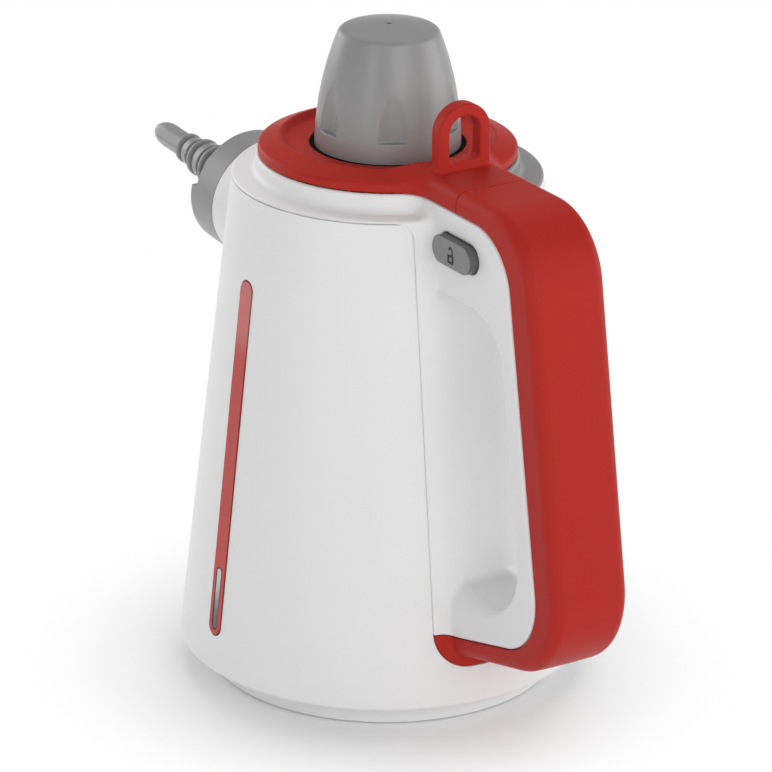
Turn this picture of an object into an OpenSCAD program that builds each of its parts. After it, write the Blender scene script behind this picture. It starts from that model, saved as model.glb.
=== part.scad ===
// Handheld steam cleaner with a conical boiler body, a C-shaped handle and a screw cap.
// Z is up from the floor, X points from the body axis to the handle, and the nozzle points to -X.

/* [Body] */
// Diameter of the body cone at the reference height
body_d = 130; // [126:0.5:134]
// Height at which that diameter is measured
body_ref_z = 20; // [16:0.5:24]
// Half angle of the body cone, degrees
body_taper = 6.17; // [5.6:0.1:6.8]
// Height of the lower edge of the body
body_z0 = 8.5; // [7.5:0.25:9.5]
// Radius of the rounded lower edge
body_edge_r = 1.5; // [1:0.25:2.5]
// Height of the seam between body and shoulder
shoulder_z = 165.2; // [161:0.5:169]
// Wall of the moulded shells
wall = 2.5; // [2.2:0.1:2.8]
// Parting gap between fixed mouldings
seam_gap = 0.15; // [0.1:0.05:0.25]
// Half width of the rear strip let into the body
strip_hw = 19.1; // [18.4:0.1:19.8]
// Height of the lowest point of the rear strip
strip_z0 = 21.4; // [20.5:0.25:22.5]
// Corner radius at the foot of the rear strip
strip_r = 12; // [10:0.5:14]
// Radius of the body's corners beside the strip, at the shoulder
strip_r1 = 5; // [4:0.5:6]
// Height at which the strip changes from white to red
tongue_z1 = 33; // [32:0.25:34]

/* [Shoulder and collar] */
// Rise of the shoulder from the seam to the collar seat
shoulder_h = 7.6; // [7:0.2:8.2]
// Outer radius of the red collar ring
collar_r = 41; // [40.4:0.1:41.4]
// Inner radius of the collar's crowned rim
rim_r = 33.75; // [33:0.25:34.5]
// Height of the crowned rim above the seat
rim_h = 5.4; // [5:0.2:5.8]
// Height of the collar's pan floor above the seat
pan_h = 3.0; // [2.6:0.1:3.4]
// Radius of the hole round the cap
cap_hole_r = 24; // [23.8:0.1:24.6]
// First angle of the grey shoulder insert, from the handle
insert_a0 = 25; // [22:1:30]

/* [Handle] */
// Half width of the handle
handle_hw = 14; // [13.6:0.1:14.6]
// Height at which the handle's depths are measured
grip_z = 110; // [105:1:115]
// Clear width of the hand gap at that height
hand_gap = 38.3; // [36:0.5:42]
// Depth of the white handle core
core_depth = 7.3; // [6.8:0.1:8.4]
// Depth of the red handle strap
strap_depth = 10.6; // [10:0.2:12]
// Lean of the inner, parting and outer faces, degrees
face_lean = [7.2, 10.6, 10.1];
// Rise of the gap floor, parting line and underside, degrees
floor_rise = [0, 14.9, 14];
// Upper corner radii of the inner, parting and outer faces
upper_r = [17, 16, 22];
// Lower corner radii of the inner, parting and outer faces
lower_r = [18, 14, 24];
// Height of the white block at the top of the handle
block_h = 27.4; // [26:0.2:29]
// Height of the floor of the hand gap
gap_floor_z = 49.5; // [47:0.5:52]
// Depth of the white part of the lower bridge
bridge_core_h = 9.8; // [9.2:0.2:11]
// Depth of the red part of the lower bridge
bridge_strap_h = 7.5; // [7:0.1:8]
// Rise of the red strap above the collar seat
strap_rise = 6.2; // [5.8:0.1:6.8]
// Radius of the strap's long outer edges
strap_edge_r = 4; // [3.5:0.25:5]
// Radius of the grip's inner edges
grip_edge_r = 3; // [2.2:0.2:3.6]
// Radius of the lower bridge's upper edges at the body
bridge_edge_r = 9; // [7:0.5:10]
// Fillet radius between handle block and body
block_fillet_r = 8; // [6:0.5:9]
// Distance of the strap's front seam from the body axis
strap_seam_x = 62.4; // [61:0.2:64]
// Corner radius of that seam
strap_seam_r = 2; // [1.5:0.25:4]

/* [Hang loop] */
// Outer radius of the loop's arch
loop_r = 9.4; // [9:0.1:9.8]
// Radius of the loop's hole
loop_hole_r = 5.7; // [5.3:0.1:6]
// Thickness of the loop
loop_t = 4; // [3.6:0.1:4.4]
// Distance of the loop's front face from the body axis
loop_x = 44.3; // [43.8:0.1:45.2]
// Height of the arch's centre above the strap
loop_h = 13.2; // [12:0.2:15]
// Height of the hole's sill above the strap
loop_sill = 3.5; // [3:0.1:4]

/* [Cap] */
// Largest radius of the screw cap
cap_r = 23.15; // [22.9:0.05:23.3]
// Radius of the cap's barrel curve
cap_barrel_r = 103.8; // [100:1:108]
// Height of the cap's flared edge above the collar seat
cap_waist_h = 1.2; // [0.8:0.1:1.6]
// Height of the cap's top edge above the seat
cap_top_h = 39.9; // [38:0.2:42]
// Crown of the cap's domed top
cap_crown = 1.7; // [1.4:0.1:2.2]
// Depth of the cap's skirt below the seat
cap_skirt = 2.8; // [2.4:0.1:3.2]
// Wall of the cap
cap_wall = 3.6; // [3.4:0.1:4]
// Number of grip dimples
dimples = 6; // [5:1:7]
// Radius of the cutter of a dimple
dimple_r = 7.6; // [7:0.1:8.4]
// Distance of a dimple's deepest line from the axis
dimple_in = 20.45; // [20.3:0.05:20.7]
// Height of the dimples' floor above the seat
dimple_h = 9.3; // [8.6:0.1:10]
// Turn of the dimples from the handle, degrees
dimple_turn = 2; // [0:0.5:6]
// Radius of the vent hole in the cap's top
vent_r = 0.9; // [0.7:0.1:1.2]

/* [Nozzle] */
// Height of the nozzle axis at its reference point
nozzle_z = 131.96; // [130:0.5:134]
// Distance of that point from the body axis
nozzle_x = 50; // [49:0.5:51]
// Upward tilt of the nozzle, degrees
nozzle_tilt = 3; // [2:0.25:4]
// Radius of the boss and of the collar's back edge
boss_r = 20.5; // [20:0.1:21]
// Distance of the boss end along the nozzle axis
boss_s = 25.7; // [25:0.1:27]
// Length of the bayonet collar
bayonet_l = 14.5; // [14:0.1:16]
// Step of the collar's upper rim behind the lower rim
bayonet_step = 3; // [2.6:0.1:3.4]
// Height of that step above the axis of the collar
bayonet_up = 3.8; // [3:0.2:5]
// Draft of the collar, radius lost over its length
bayonet_draft = 0.2; // [0.1:0.1:0.5]
// Wall of the collar
bayonet_wall = 3; // [2.6:0.1:3.4]
// Spacing of the ribs on the tube
rib_pitch = 9.8; // [9.4:0.1:10.2]
// Distance of the last rib from the tube's end
tip_l = 18.5; // [17:0.5:20]
// Length of the tube's tapered nose
nose_l = 7; // [6:0.5:8]
// Radius of the tube's plain end
tip_r = 4.15; // [4:0.05:4.4]
// Radius of the last rib
rib_r = 5.2; // [5:0.1:5.5]
// Growth of radius from rib to rib
rib_grow = 1.35; // [1.2:0.05:1.45]
// Radius of the steam bore
steam_r = 2; // [1.6:0.1:2.2]

/* [Trim and button] */
// Angle of the red trim strip on the body, from the handle
trim_az = -88; // [-92:1:-84]
// Width of the trim strip
trim_w = 6.2; // [5.8:0.1:6.6]
// Height of the trim strip's lower end
trim_z0 = 21.2; // [20:0.2:23]
// Height of the trim strip's upper end
trim_z1 = 139; // [134:0.5:142]
// Depth of the trim strip's groove
trim_depth = 1.1; // [0.9:0.1:1.3]
// Height by which the trim stands proud
trim_proud = 0.3; // [0.2:0.05:0.5]
// Width of the indicator lens
lens_w = 2.6; // [2.4:0.1:3]
// Height of the indicator lens' lower end
lens_z0 = 23.2; // [22.8:0.2:24]
// Height of the indicator lens' upper end
lens_z1 = 43.8; // [42:0.2:45]
// Length of the lock button
button_l = 21.3; // [20.5:0.1:22]
// Height of the lock button
button_h = 8.8; // [8.4:0.1:9]
// Distance of the button's centre from the body axis
button_x = 63.7; // [62.5:0.2:65]
// Distance of the button's centre below the parting line
button_drop = 11.5; // [11:0.1:12]
// Height of the button above the handle's side
button_proud = 3; // [2.8:0.1:3.4]
// Travel of the lock button
button_travel = 2.8; // [2.4:0.1:3]
// Running clearance round sliding pieces
slide_gap = 0.3; // [0.25:0.05:0.4]

/* [Trigger and valve] */
// Half width of the trigger
trigger_hw = 7.5; // [7:0.1:7.8]
// Length of the trigger below its pivot
trigger_l = 41; // [38:0.5:43]
// Height by which the trigger stands out of the handle
trigger_proud = 8.5; // [7.5:0.25:9]
// Radius of the finger hollow
finger_r = 24; // [20:1:30]
// Distance of the pivot below the handle block
pivot_drop = 6; // [5.6:0.1:6.4]
// Distance of the pivot behind the handle's inner face
pivot_in = 3.3; // [3:0.1:3.5]
// Radius of the pivot pin
pin_r = 1.3; // [1.1:0.1:1.4]
// Radial clearance of a turning or sliding fit
fit_gap = 0.05; // [0.03:0.01:0.08]
// Height of the push rod above the handle block's underside
rod_h = 7.4; // [7:0.1:7.8]
// Radius of the push rod
rod_r = 1.8; // [1.6:0.1:2]

/* [Boiler] */
// Radius of the boiler
boiler_r = 38; // [36:0.5:39]
// Height of the boiler's underside
boiler_z0 = 22; // [21:0.25:23]
// Height of the boiler's top
boiler_z1 = 120; // [117:0.5:122]
// Wall of the boiler
boiler_wall = 3; // [2.6:0.1:3.4]
// Inner radius of the filler neck
neck_r = 11; // [10.6:0.1:11.4]
// Wall of the filler neck
neck_wall = 3.5; // [3.2:0.1:3.8]
// Distance of the neck's top below the collar seat
neck_drop = 5.8; // [5.6:0.1:6]
// Thickness of the cap gasket
gasket_t = 2; // [1.8:0.1:2.2]

/* [Base] */
// Radius of the base ring at the floor
base_r = 56.7; // [56:0.1:57.4]
// Radius of the base ring under the body
base_r1 = 58.5; // [58:0.1:59]
// Distance of the rubber pad's edge inside the screw circle
pad_inset = 6; // [5:0.1:8]
// Height by which the pad stands proud of the base
pad_proud = 0.4; // [0.3:0.1:0.6]
// Distance of the screw circle inside the base ring
screw_inset = 6.7; // [6.3:0.1:7.1]
// Radius of the screw heads
screw_head_r = 2.8; // [2.6:0.1:3]

/* [Hidden] */
$fn = 96;
seat_z = shoulder_z + shoulder_h;
strap_top_z = seat_z + strap_rise;
part_z = seat_z - 0.5;
block_z = part_z - block_h;
button_z = part_z - button_drop;
rod_z = block_z + rod_h;
foot_x = 90;
screw_pcd_r = min(base_r, base_r1) - screw_inset;
pad_r = screw_pcd_r - pad_inset;

// Radius of the body cone at height z
function cone_r(z) = body_d / 2 - (z - body_ref_z) * tan(body_taper);
// Radius of the body's inner wall at height z
function inner_r(z) = cone_r(z) - wall / cos(body_taper);
function arc(c, r, a0, a1, n = 8) =
    [for (i = [0:n]) c + r * [cos(a0 + (a1 - a0) * i / n), sin(a0 + (a1 - a0) * i / n)]];
// Point at which a leaning face meets a rising floor
function face_floor(face, lean, level, rise) =
    let (m = tan(lean), k = tan(rise), x = (face + m * (grip_z - level + foot_x * k)) / (1 + m * k))
    [x, level + (x - foot_x) * k];

// Side-view lines of the handle: 0 is the hand gap, 1 the parting line, 2 the outside
gap_face = cone_r(grip_z) + hand_gap;
line_face = [gap_face, gap_face + core_depth, gap_face + core_depth + strap_depth];
line_top = [block_z, part_z, strap_top_z];
line_floor = [gap_floor_z, gap_floor_z - bridge_core_h, gap_floor_z - bridge_core_h - bridge_strap_h];
// Side-view outline of line i from x0 on top to x1 below, moved out by d
function outline(i, d, x0, x1) =
    let (lean = face_lean[i], rise = floor_rise[i], face = line_face[i] + d / cos(lean),
         top = line_top[i] + d, level = line_floor[i] - d / cos(rise),
         r1 = upper_r[i] + d, r2 = lower_r[i] + d, z1 = top - r1,
         c1 = [face - r1 / cos(lean) + (grip_z - z1) * tan(lean), z1],
         c2 = face_floor(face - r2 / cos(lean), lean, level + r2 / cos(rise), rise))
    concat([[x0, top]], arc(c1, r1, 90, lean), arc(c2, r2, lean, rise - 90),
           [[x1, level + (x1 - foot_x) * tan(rise)]]);
function gap_x(z) = line_face[0] + (grip_z - z) * tan(face_lean[0]);

// U-shaped section, depth l, with rounded corners r on its closed side and wall w: outside, then inside
function u_section(l, r, hw, w) =
    let (q = max(r - w, 0.4), c = w + q)
    concat([[l, -hw]], arc([r, r - hw], r, -90, -180, 4), arc([r, hw - r], r, 180, 90, 4), [[l, hw]],
           [[l, w - hw]], arc([c, c - hw], q, -90, -180, 4), arc([c, hw - c], q, 180, 90, 4), [[l, hw - w]]);

// Channel lofted between two outlines, with its closed side along a and edge radius radii[i]
module channel(a, b, radii, hw, w) {
    count = len(a);
    loops = [for (i = [0:count - 1])
        let (l = norm(b[i] - a[i]), u = (b[i] - a[i]) / l)
        [for (p = u_section(l, radii[i], hw, w)) [a[i].x + u.x * p.x, p.y, a[i].y + u.y * p.x]]];
    n = len(loops[0]);
    m = n / 2;
    ring = concat([for (j = [0:m - 1]) j], [for (j = [n - 1:-1:m]) j]);
    sides = [for (i = [0:count - 2], j = [0:n - 1], k = [0, 1])
        let (p = i * n + ring[j], q = i * n + ring[(j + 1) % n])
        k == 0 ? [p, q, q + n] : [p, q + n, p + n]];
    first = [for (j = [0:m - 2], k = [0, 1]) k == 0 ? [j, m + j, m + j + 1] : [j, m + j + 1, j + 1]];
    last = [for (t = first) [for (j = [2:-1:0]) t[j] + (count - 1) * n]];
    faces = concat(sides, first, last);
    outward = cross(a[1] - a[0], b[0] - a[0]) < 0;
    polyhedron([for (loop = loops, p = loop) p],
               outward ? faces : [for (t = faces) [t[2], t[1], t[0]]]);
}

// Places children on the body cone: local X points out of the wall, local Z up the wall
module on_cone(az, z) {
    rotate([0, 0, az])
        translate([cone_r(0), 0, 0])
            rotate([0, -body_taper, 0])
                translate([0, 0, z / cos(body_taper)])
                    children();
}

// Places children on the nozzle axis: local Z runs out along it, local X is up
module on_nozzle(s) {
    translate([-nozzle_x, 0, nozzle_z])
        rotate([0, nozzle_tilt - 90, 0])
            translate([0, 0, s])
                children();
}

// Bar of length l and width w with round ends, standing in the YZ plane, from x0 to x1
module slot_bar(w, l, x0, x1) {
    translate([x0, 0, 0])
        rotate([90, 0, 90])
            linear_extrude(x1 - x0)
                union() {
                    translate([0, w / 2]) circle(w / 2);
                    translate([0, l - w / 2]) circle(w / 2);
                    translate([-w / 2, w / 2]) square([w, l - w]);
                }
}

// Outline of the rear strip, from behind, grown by g
module strip_shape(g) {
    hw = strip_hw + g;
    r = strip_r + g;
    r1 = strip_r1 - g;
    z0 = strip_z0 - g + r;
    z1 = shoulder_z + 0.6 - strip_r1;
    polygon(concat(arc([hw - r, z0], r, -90, 0), arc([hw + r1, z1], r1, 180, 90, 5),
                   [[hw + r1, shoulder_z + 5], [-hw - r1, shoulder_z + 5]],
                   arc([-hw - r1, z1], r1, 90, 0, 5), arc([r - hw, z0], r, 180, 270)));
}

module strip_block(g) {
    translate([body_d / 4, 0, 0])
        rotate([90, 0, 90])
            linear_extrude(body_d / 2)
                strip_shape(g);
}

// Solid of the body cone with its rounded lower edge
module cone_solid(top) {
    zc = body_z0 + body_edge_r;
    rc = cone_r(zc) - body_edge_r / cos(body_taper);
    rotate_extrude()
        polygon(concat([[0, body_z0]], arc([rc, zc], body_edge_r, -90, body_taper),
                       [[cone_r(top), top], [0, top]]));
}

// Space inside the body's wall
module cone_void(top) {
    z0 = body_z0 + wall;
    rotate_extrude()
        polygon([[0, 0], [base_r1 + slide_gap, 0], [base_r1 + slide_gap, z0],
                 [inner_r(z0) - body_edge_r / 2, z0], [inner_r(z0 + body_edge_r), z0 + body_edge_r],
                 [inner_r(top), top], [0, top]]);
}

// Slice of the cone wall that fills the strip opening
module cone_strip() {
    difference() {
        intersection() {
            cone_solid(shoulder_z + seam_gap);
            strip_block(-seam_gap);
        }
        cone_void(shoulder_z + 1);
    }
}

// Section of the shoulder: rounded edge, hollow groove and the seat of the collar
module shoulder_section() {
    z0 = shoulder_z + seam_gap;
    r0 = cone_r(z0);
    r1 = collar_r + 0.6;
    groove_r = 2.6;
    edge = 1.8;
    polygon(concat([[r0 - wall - 3, z0], [r0, z0]],
        arc([r0 - edge - 0.2, z0 + 0.4], edge, 0, 78, 5),
        arc([r1 + groove_r, z0 + 5.2], groove_r, -80, -180, 6),
        [[r1, seat_z], [r1 - 1.4, seat_z], [r1 - 1.8, z0 + 3.4], [r0 - wall - 3, z0 + 0.8]]));
}

// Half of the shoulder from angle a0 over a degrees, with a skirt that locates it in the body
module shoulder_ring(a0, a) {
    rotate([0, 0, a0])
        rotate_extrude(angle = a) {
            shoulder_section();
            translate([inner_r(shoulder_z) - 0.5 - 1.6, shoulder_z - 4])
                square([1.6, 4 + seam_gap + 0.4]);
        }
}

// Concave fillet that blends one side of the handle block into the body
module block_fillet(side) {
    r = block_fillet_r;
    y0 = handle_hw;
    mid_z = (block_z + part_z) / 2;
    rc = cone_r(mid_z);
    cx = sqrt(pow(rc + r, 2) - pow(y0 + r, 2));
    tilt_x = (cone_r(block_z) - cone_r(part_z)) / 2;
    difference() {
        translate([0, 0, block_z])
            linear_extrude(part_z - block_z)
                polygon([[rc - r, side * (y0 - 1)], [cx, side * (y0 - 1)], [cx, side * y0],
                         [rc * cx / (rc + r), side * rc * (y0 + r) / (rc + r)],
                         [rc - r, side * rc * (y0 + r) / (rc + r)]]);
        translate([cx + tilt_x, side * (y0 + r), block_z])
            rotate([0, -body_taper, 0])
                translate([0, 0, -r])
                    cylinder(r = r, h = block_h + 3 * r);
    }
}

// Helical wire of mean radius r, from 0 up to height h
module coil(r, wire, h, turns) {
    rings = turns * 10;
    sides = 6;
    loops = [for (i = [0:rings], j = [0:sides - 1])
        let (a = 360 * turns * i / rings, b = 360 * j / sides, q = r + wire * cos(b))
        [q * cos(a), q * sin(a), wire + (h - 2 * wire) * i / rings + wire * sin(b)]];
    skin = [for (i = [0:rings - 1], j = [0:sides - 1], k = [0, 1])
        let (p = i * sides + j, q = i * sides + (j + 1) % sides)
        k == 0 ? [p, q + sides, q] : [p, p + sides, q + sides]];
    ends = [[for (j = [0:sides - 1]) j], [for (j = [sides - 1:-1:0]) rings * sides + j]];
    polyhedron(loops, concat(skin, ends));
}

// Route p with each inner corner rounded to radius r
function unit(v) = v / norm(v);
function bent(p, r, n = 4) = concat([p[0]], [for (i = [1:len(p) - 2])
    let (u = unit(p[i - 1] - p[i]), v = unit(p[i + 1] - p[i]), half = acos(u * v) / 2,
         c = p[i] + unit(u + v) * r / sin(half), turn = 180 - 2 * half,
         from = p[i] + u * r / tan(half) - c, to = p[i] + v * r / tan(half) - c)
    for (k = [0:n]) c + (sin(turn * (1 - k / n)) * from + sin(turn * k / n) * to) / sin(turn)],
    [p[len(p) - 1]]);

// Round tube of radius r along the route p, with its rings set out from the axis up
module run_tube(p, r, up) {
    rings = len(p) - 1;
    sides = 12;
    points = [for (i = [0:rings])
        let (t = unit((i > 0 ? unit(p[i] - p[i - 1]) : [0, 0, 0]) + (i < rings ? unit(p[i + 1] - p[i]) : [0, 0, 0])),
             a = unit(cross(up, t)), b = cross(t, a))
        for (j = [0:sides - 1]) p[i] + r * (cos(360 * j / sides) * a + sin(360 * j / sides) * b)];
    skin = [for (i = [0:rings - 1], j = [0:sides - 1], k = [0, 1])
        let (q = i * sides + j, w = i * sides + (j + 1) % sides)
        k == 0 ? [q, w + sides, w] : [q, q + sides, w + sides]];
    ends = [[for (j = [0:sides - 1]) j], [for (j = [sides - 1:-1:0]) rings * sides + j]];
    polyhedron(points, concat(skin, ends));
}

// White front shell: the cone wrapped round the body, with the nozzle boss
boss_wall = 2.6;
boss_post_r = 3.6;
post_z1 = 24;
gland_az = 90;
gland_z = 24;
gland_r = 6;
screw_angles = [45, 135, 225, 315];
module shell_post(a) {
    rotate([0, 0, a]) {
        translate([screw_pcd_r, 0, base_floor_z1 + seam_gap])
            cylinder(r = boss_post_r, h = post_z1 - base_floor_z1 - seam_gap);
        translate([screw_pcd_r, -1, body_z0 + spigot_h + seam_gap])
            cube([inner_r(post_z1) - screw_pcd_r + 0.6, 2, post_z1 - body_z0 - spigot_h - seam_gap]);
    }
}
module front_shell() {
    color("whitesmoke")
        difference() {
            union() {
                difference() {
                    union() {
                        cone_solid(shoulder_z);
                        on_nozzle(-nozzle_x / 3)
                            cylinder(r = boss_r, h = boss_s + nozzle_x / 3);
                    }
                    cone_void(shoulder_z + 1);
                    on_nozzle(-nozzle_x / 2)
                        cylinder(r = boss_r - boss_wall, h = boss_s + nozzle_x);
                }
                for (a = screw_angles)
                    shell_post(a);
            }
            strip_block(0);
            for (a = screw_angles)
                rotate([0, 0, a])
                    translate([screw_pcd_r, 0, 0])
                        cylinder(r = screw_r + fit_gap, h = screw_l + 1);
            on_cone(trim_az, trim_z0)
                slot_bar(trim_w + 2 * seam_gap, trim_l, -trim_depth - seam_gap, wall);
            on_cone(trim_az, lens_z0)
                slot_bar(lens_w + 2 * seam_gap, lens_l, -2 * wall, wall);
            on_cone(gland_az, gland_z)
                rotate([0, 90, 0])
                    cylinder(r = gland_r + seam_gap, h = 4 * wall, center = true);
        }
}

// White rear housing: rear strip, left shoulder and the hollow core of the handle
core_reach = 8;
core_x0 = inner_r(part_z) - core_reach;
core_x1 = inner_r(gap_floor_z) - core_reach / 2;
core_gap = outline(0, 0, core_x0, core_x1);
core_split = outline(1, 0, core_x0, core_x1);
core_last = len(core_gap) - 1;
core_radii = [for (i = [0:core_last])
    i < core_last / 2 ? grip_edge_r
    : grip_edge_r + (bridge_edge_r - grip_edge_r) * (i - core_last / 2) / (core_last / 2)];
module rear_housing() {
    color("white")
        difference() {
            union() {
                difference() {
                    union() {
                        channel(core_gap, core_split, core_radii, handle_hw, wall);
                        difference() {
                            for (side = [-1, 1])
                                block_fillet(side);
                            difference() {
                                translate([0, 0, block_z - 1])
                                    cylinder(r1 = cone_r(block_z - 1) + seam_gap, r2 = cone_r(shoulder_z) + seam_gap,
                                             h = shoulder_z - block_z + 1);
                                strip_block(-seam_gap);
                            }
                        }
                        intersection() {
                            cone_solid(shoulder_z + seam_gap);
                            strip_block(-seam_gap);
                        }
                    }
                    cone_void(shoulder_z + 1);
                    translate([0, 0, shoulder_z])
                        cylinder(r = collar_r - 1.2, h = 2 * shoulder_h);
                    translate([0, 0, part_z])
                        cylinder(r = collar_r + 2 * handle_hw, h = shoulder_h);
                }
                shoulder_ring(180, 180 + insert_a0 - seam_gap);
            }
            // The red tongue takes the foot of the strip
            translate([body_d / 4, -body_d / 2, 0])
                cube([body_d / 4 + wall, body_d, tongue_z1]);
            // Slot for the trigger, bores for its pin, the lock button and the push rod
            translate([gap_x(pivot_z) - 8, -trigger_hw - slide_gap - 0.3, pivot_z - trigger_l - 2])
                cube([16, 2 * (trigger_hw + slide_gap + 0.3), trigger_l + 8]);
            translate([pivot_x, pin_hl + seam_gap, pivot_z])
                rotate([90, 0, 0])
                    cylinder(r = pin_r + 0.02, h = 2 * (pin_hl + seam_gap));
            // Room for the return spring
            translate([pivot_x, handle_hw - wall, pivot_z])
                rotate([90, 0, 0])
                    cylinder(r = spring_r + spring_wire_r + slide_gap, h = 2 * (handle_hw - wall));
            translate([0, handle_hw + 1, 0])
                button_shape(slide_gap, 2 * handle_hw + 2);
            translate([core_x0 - 2, 0, rod_z])
                rotate([0, 90, 0])
                    cylinder(r = rod_r + 1.2, h = arm_x - core_x0);
        }
}

// Grey insert that forms the right-hand side of the shoulder
module shoulder_insert() {
    color("gray")
        shoulder_ring(insert_a0 + seam_gap, 180 - insert_a0 - 2 * seam_gap);
}

// White base plate with the ring that carries the boiler
base_z0 = pad_proud;
pad_t = 2;
base_floor_z1 = 4.5;
spigot_h = 3;
ring_r = 33.5;
ring_t = 2.5;
module base_plate() {
    color("white")
        difference() {
            rotate_extrude() {
                polygon([[0, base_z0], [base_r - 0.4, base_z0], [base_r, base_z0 + 0.4],
                         [base_r1, body_z0 - seam_gap], [base_r1 - slide_gap, body_z0 - seam_gap],
                         [base_r1 - slide_gap, body_z0 + spigot_h], [base_r1 - wall, body_z0 + spigot_h],
                         [base_r1 - wall, body_z0], [base_r - wall, base_floor_z1], [0, base_floor_z1]]);
                translate([ring_r, base_floor_z1 - 1])
                    square([ring_t, boiler_z0 - base_floor_z1 + 1]);
            }
            translate([0, 0, base_z0 - 1])
                cylinder(r = pad_r + seam_gap, h = pad_t - pad_proud + 1);
            for (a = screw_angles)
                rotate([0, 0, a])
                    translate([screw_pcd_r, 0, 0]) {
                        cylinder(r = screw_head_r + slide_gap, h = screw_head_z + screw_head_t);
                        cylinder(r = screw_r + 2 * fit_gap, h = body_z0);
                    }
            translate([-lead_r - 1, 0, lead_z - lead_r - 1])
                cube([2 * lead_r + 2, base_r - wall - 6, boiler_z0]);
        }
}

// Rubber pad under the base
module base_pad() {
    color("dimgray")
        difference() {
            cylinder(r = pad_r, h = pad_t);
            for (r = [pad_r - 4, pad_r - 8])
                rotate_extrude()
                    translate([r, 0])
                        circle(0.7);
        }
}

// Steel screws that hold the base to the shell, one group of four
screw_r = 1.4;
screw_l = 18;
screw_head_t = 1.6;
screw_head_z = 1.2;
module base_screws() {
    color("silver")
        for (a = screw_angles)
            rotate([0, 0, a])
                translate([screw_pcd_r, 0, screw_head_z])
                    difference() {
                        union() {
                            cylinder(r = screw_head_r, h = screw_head_t);
                            cylinder(r = screw_r, h = screw_l - screw_head_z);
                        }
                        for (turn = [0, 90])
                            rotate([0, 0, turn])
                                translate([-1.6, -0.35, -1])
                                    cube([3.2, 0.7, 1.8]);
                    }
}

// Red top collar: crowned ring, pan and the start of the strap, with the hang loop
module collar_ring() {
    z = seat_z;
    rotate_extrude()
        polygon(concat(
            [[collar_r - 2.4, z], [collar_r, z]],
            arc([collar_r - 1.6, z + 1.2], 1.6, 0, 70, 4),
            [[rim_r + 0.6, z + rim_h], [rim_r, z + rim_h - 0.2], [rim_r - 1.9, z + pan_h],
             [cap_hole_r, z + pan_h], [cap_hole_r, z + pan_h - 2.2], [rim_r - 1.2, z + pan_h - 2.2],
             [rim_r + 1, z + rim_h - 2.8], [collar_r - 2.4, z + 1.2]]));
}
module collar_bridge() {
    hw = handle_hw;
    r = strap_edge_r;
    z0 = part_z + seam_gap;
    h = strap_top_z - z0;
    translate([rim_r - 4, 0, z0])
        rotate([90, 0, 90])
            linear_extrude(strap_seam_x + strap_seam_r - rim_r)
                intersection() {
                    translate([-hw, 0])
                        square([2 * hw, h]);
                    union() {
                        translate([-hw, -r])
                            square([2 * hw, h]);
                        translate([r - hw, 0])
                            square([2 * (hw - r), h]);
                        for (side = [-1, 1])
                            translate([side * (hw - r), h - r])
                                circle(r);
                    }
                }
}
module seam_end(g) {
    // Rounded front end of the strap, as a cutter grown by g
    x0 = strap_seam_x - g;
    r = strap_seam_r + g;
    hw = handle_hw + 1 + g;
    translate([0, 0, part_z - 1])
        linear_extrude(strap_top_z - part_z + 4) {
            translate([x0 + r, -hw])
                square([4 * r, 2 * hw]);
            translate([x0, r - hw])
                square([r + 1, 2 * (hw - r)]);
            for (side = [-1, 1])
                translate([x0 + r, side * (hw - r)])
                    circle(r);
        }
}
loop_hole_corner = 1.5;
module hang_loop() {
    z0 = strap_top_z - 1;
    sill = strap_top_z + loop_sill;
    zc = strap_top_z + loop_h;
    translate([loop_x - loop_t, 0, 0])
        rotate([90, 0, 90])
            linear_extrude(loop_t)
                difference() {
                    union() {
                        translate([-loop_r, z0])
                            square([2 * loop_r, zc - z0]);
                        translate([0, zc])
                            circle(loop_r);
                    }
                    polygon(concat([[loop_hole_r, zc], [-loop_hole_r, zc]],
                        arc([loop_hole_corner - loop_hole_r, sill + loop_hole_corner], loop_hole_corner, 180, 270, 4),
                        arc([loop_hole_r - loop_hole_corner, sill + loop_hole_corner], loop_hole_corner, 270, 360, 4)));
                    translate([0, zc])
                        circle(loop_hole_r);
                }
}
module top_collar() {
    color("firebrick") {
        difference() {
            union() {
                collar_ring();
                difference() {
                    collar_bridge();
                    cylinder(r = rim_r, h = 2 * seat_z);
                    translate([0, 0, part_z])
                        cylinder(r = collar_r + 1, h = seat_z - part_z);
                }
                hang_loop();
            }
            seam_end(seam_gap);
        }
    }
}

// Red handle strap: hollow cover of the handle's outside, ending in a tongue on the body
strap_out = outline(2, 0, strap_seam_x - 2, core_x1);
strap_split = outline(1, seam_gap, strap_seam_x - 2, core_x1);
module handle_strap() {
    color("firebrick")
        difference() {
            union() {
                intersection() {
                    channel(strap_out, strap_split, [for (p = strap_out) strap_edge_r], handle_hw, wall);
                    union() {
                        seam_end(0);
                        translate([0, -body_d, 0])
                            cube([2 * body_d, 2 * body_d, part_z - 1]);
                    }
                }
                intersection() {
                    cone_solid(tongue_z1 - seam_gap);
                    strip_block(-seam_gap);
                }
            }
            cone_void(shoulder_z);
        }
}

// Grey bayonet collar round the nozzle
plate_s = boss_s + 2;
plate_t = 3;
hub_r = 9;
module nozzle_collar() {
    r1 = boss_r - bayonet_draft;
    bore = r1 - bayonet_wall;
    color("gray")
        on_nozzle(0)
            difference() {
                rotate_extrude()
                    polygon([[hub_r + fit_gap, plate_s], [bore, plate_s], [bore, boss_s + seam_gap],
                             [boss_r, boss_s + seam_gap], [r1, boss_s + bayonet_l], [bore, boss_s + bayonet_l],
                             [bore, plate_s + plate_t], [hub_r + fit_gap, plate_s + plate_t]]);
                translate([bayonet_up, -boss_r - 1, boss_s + bayonet_l - bayonet_step])
                    cube([boss_r + 1, 2 * boss_r + 2, bayonet_step + 1]);
            }
}

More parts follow.
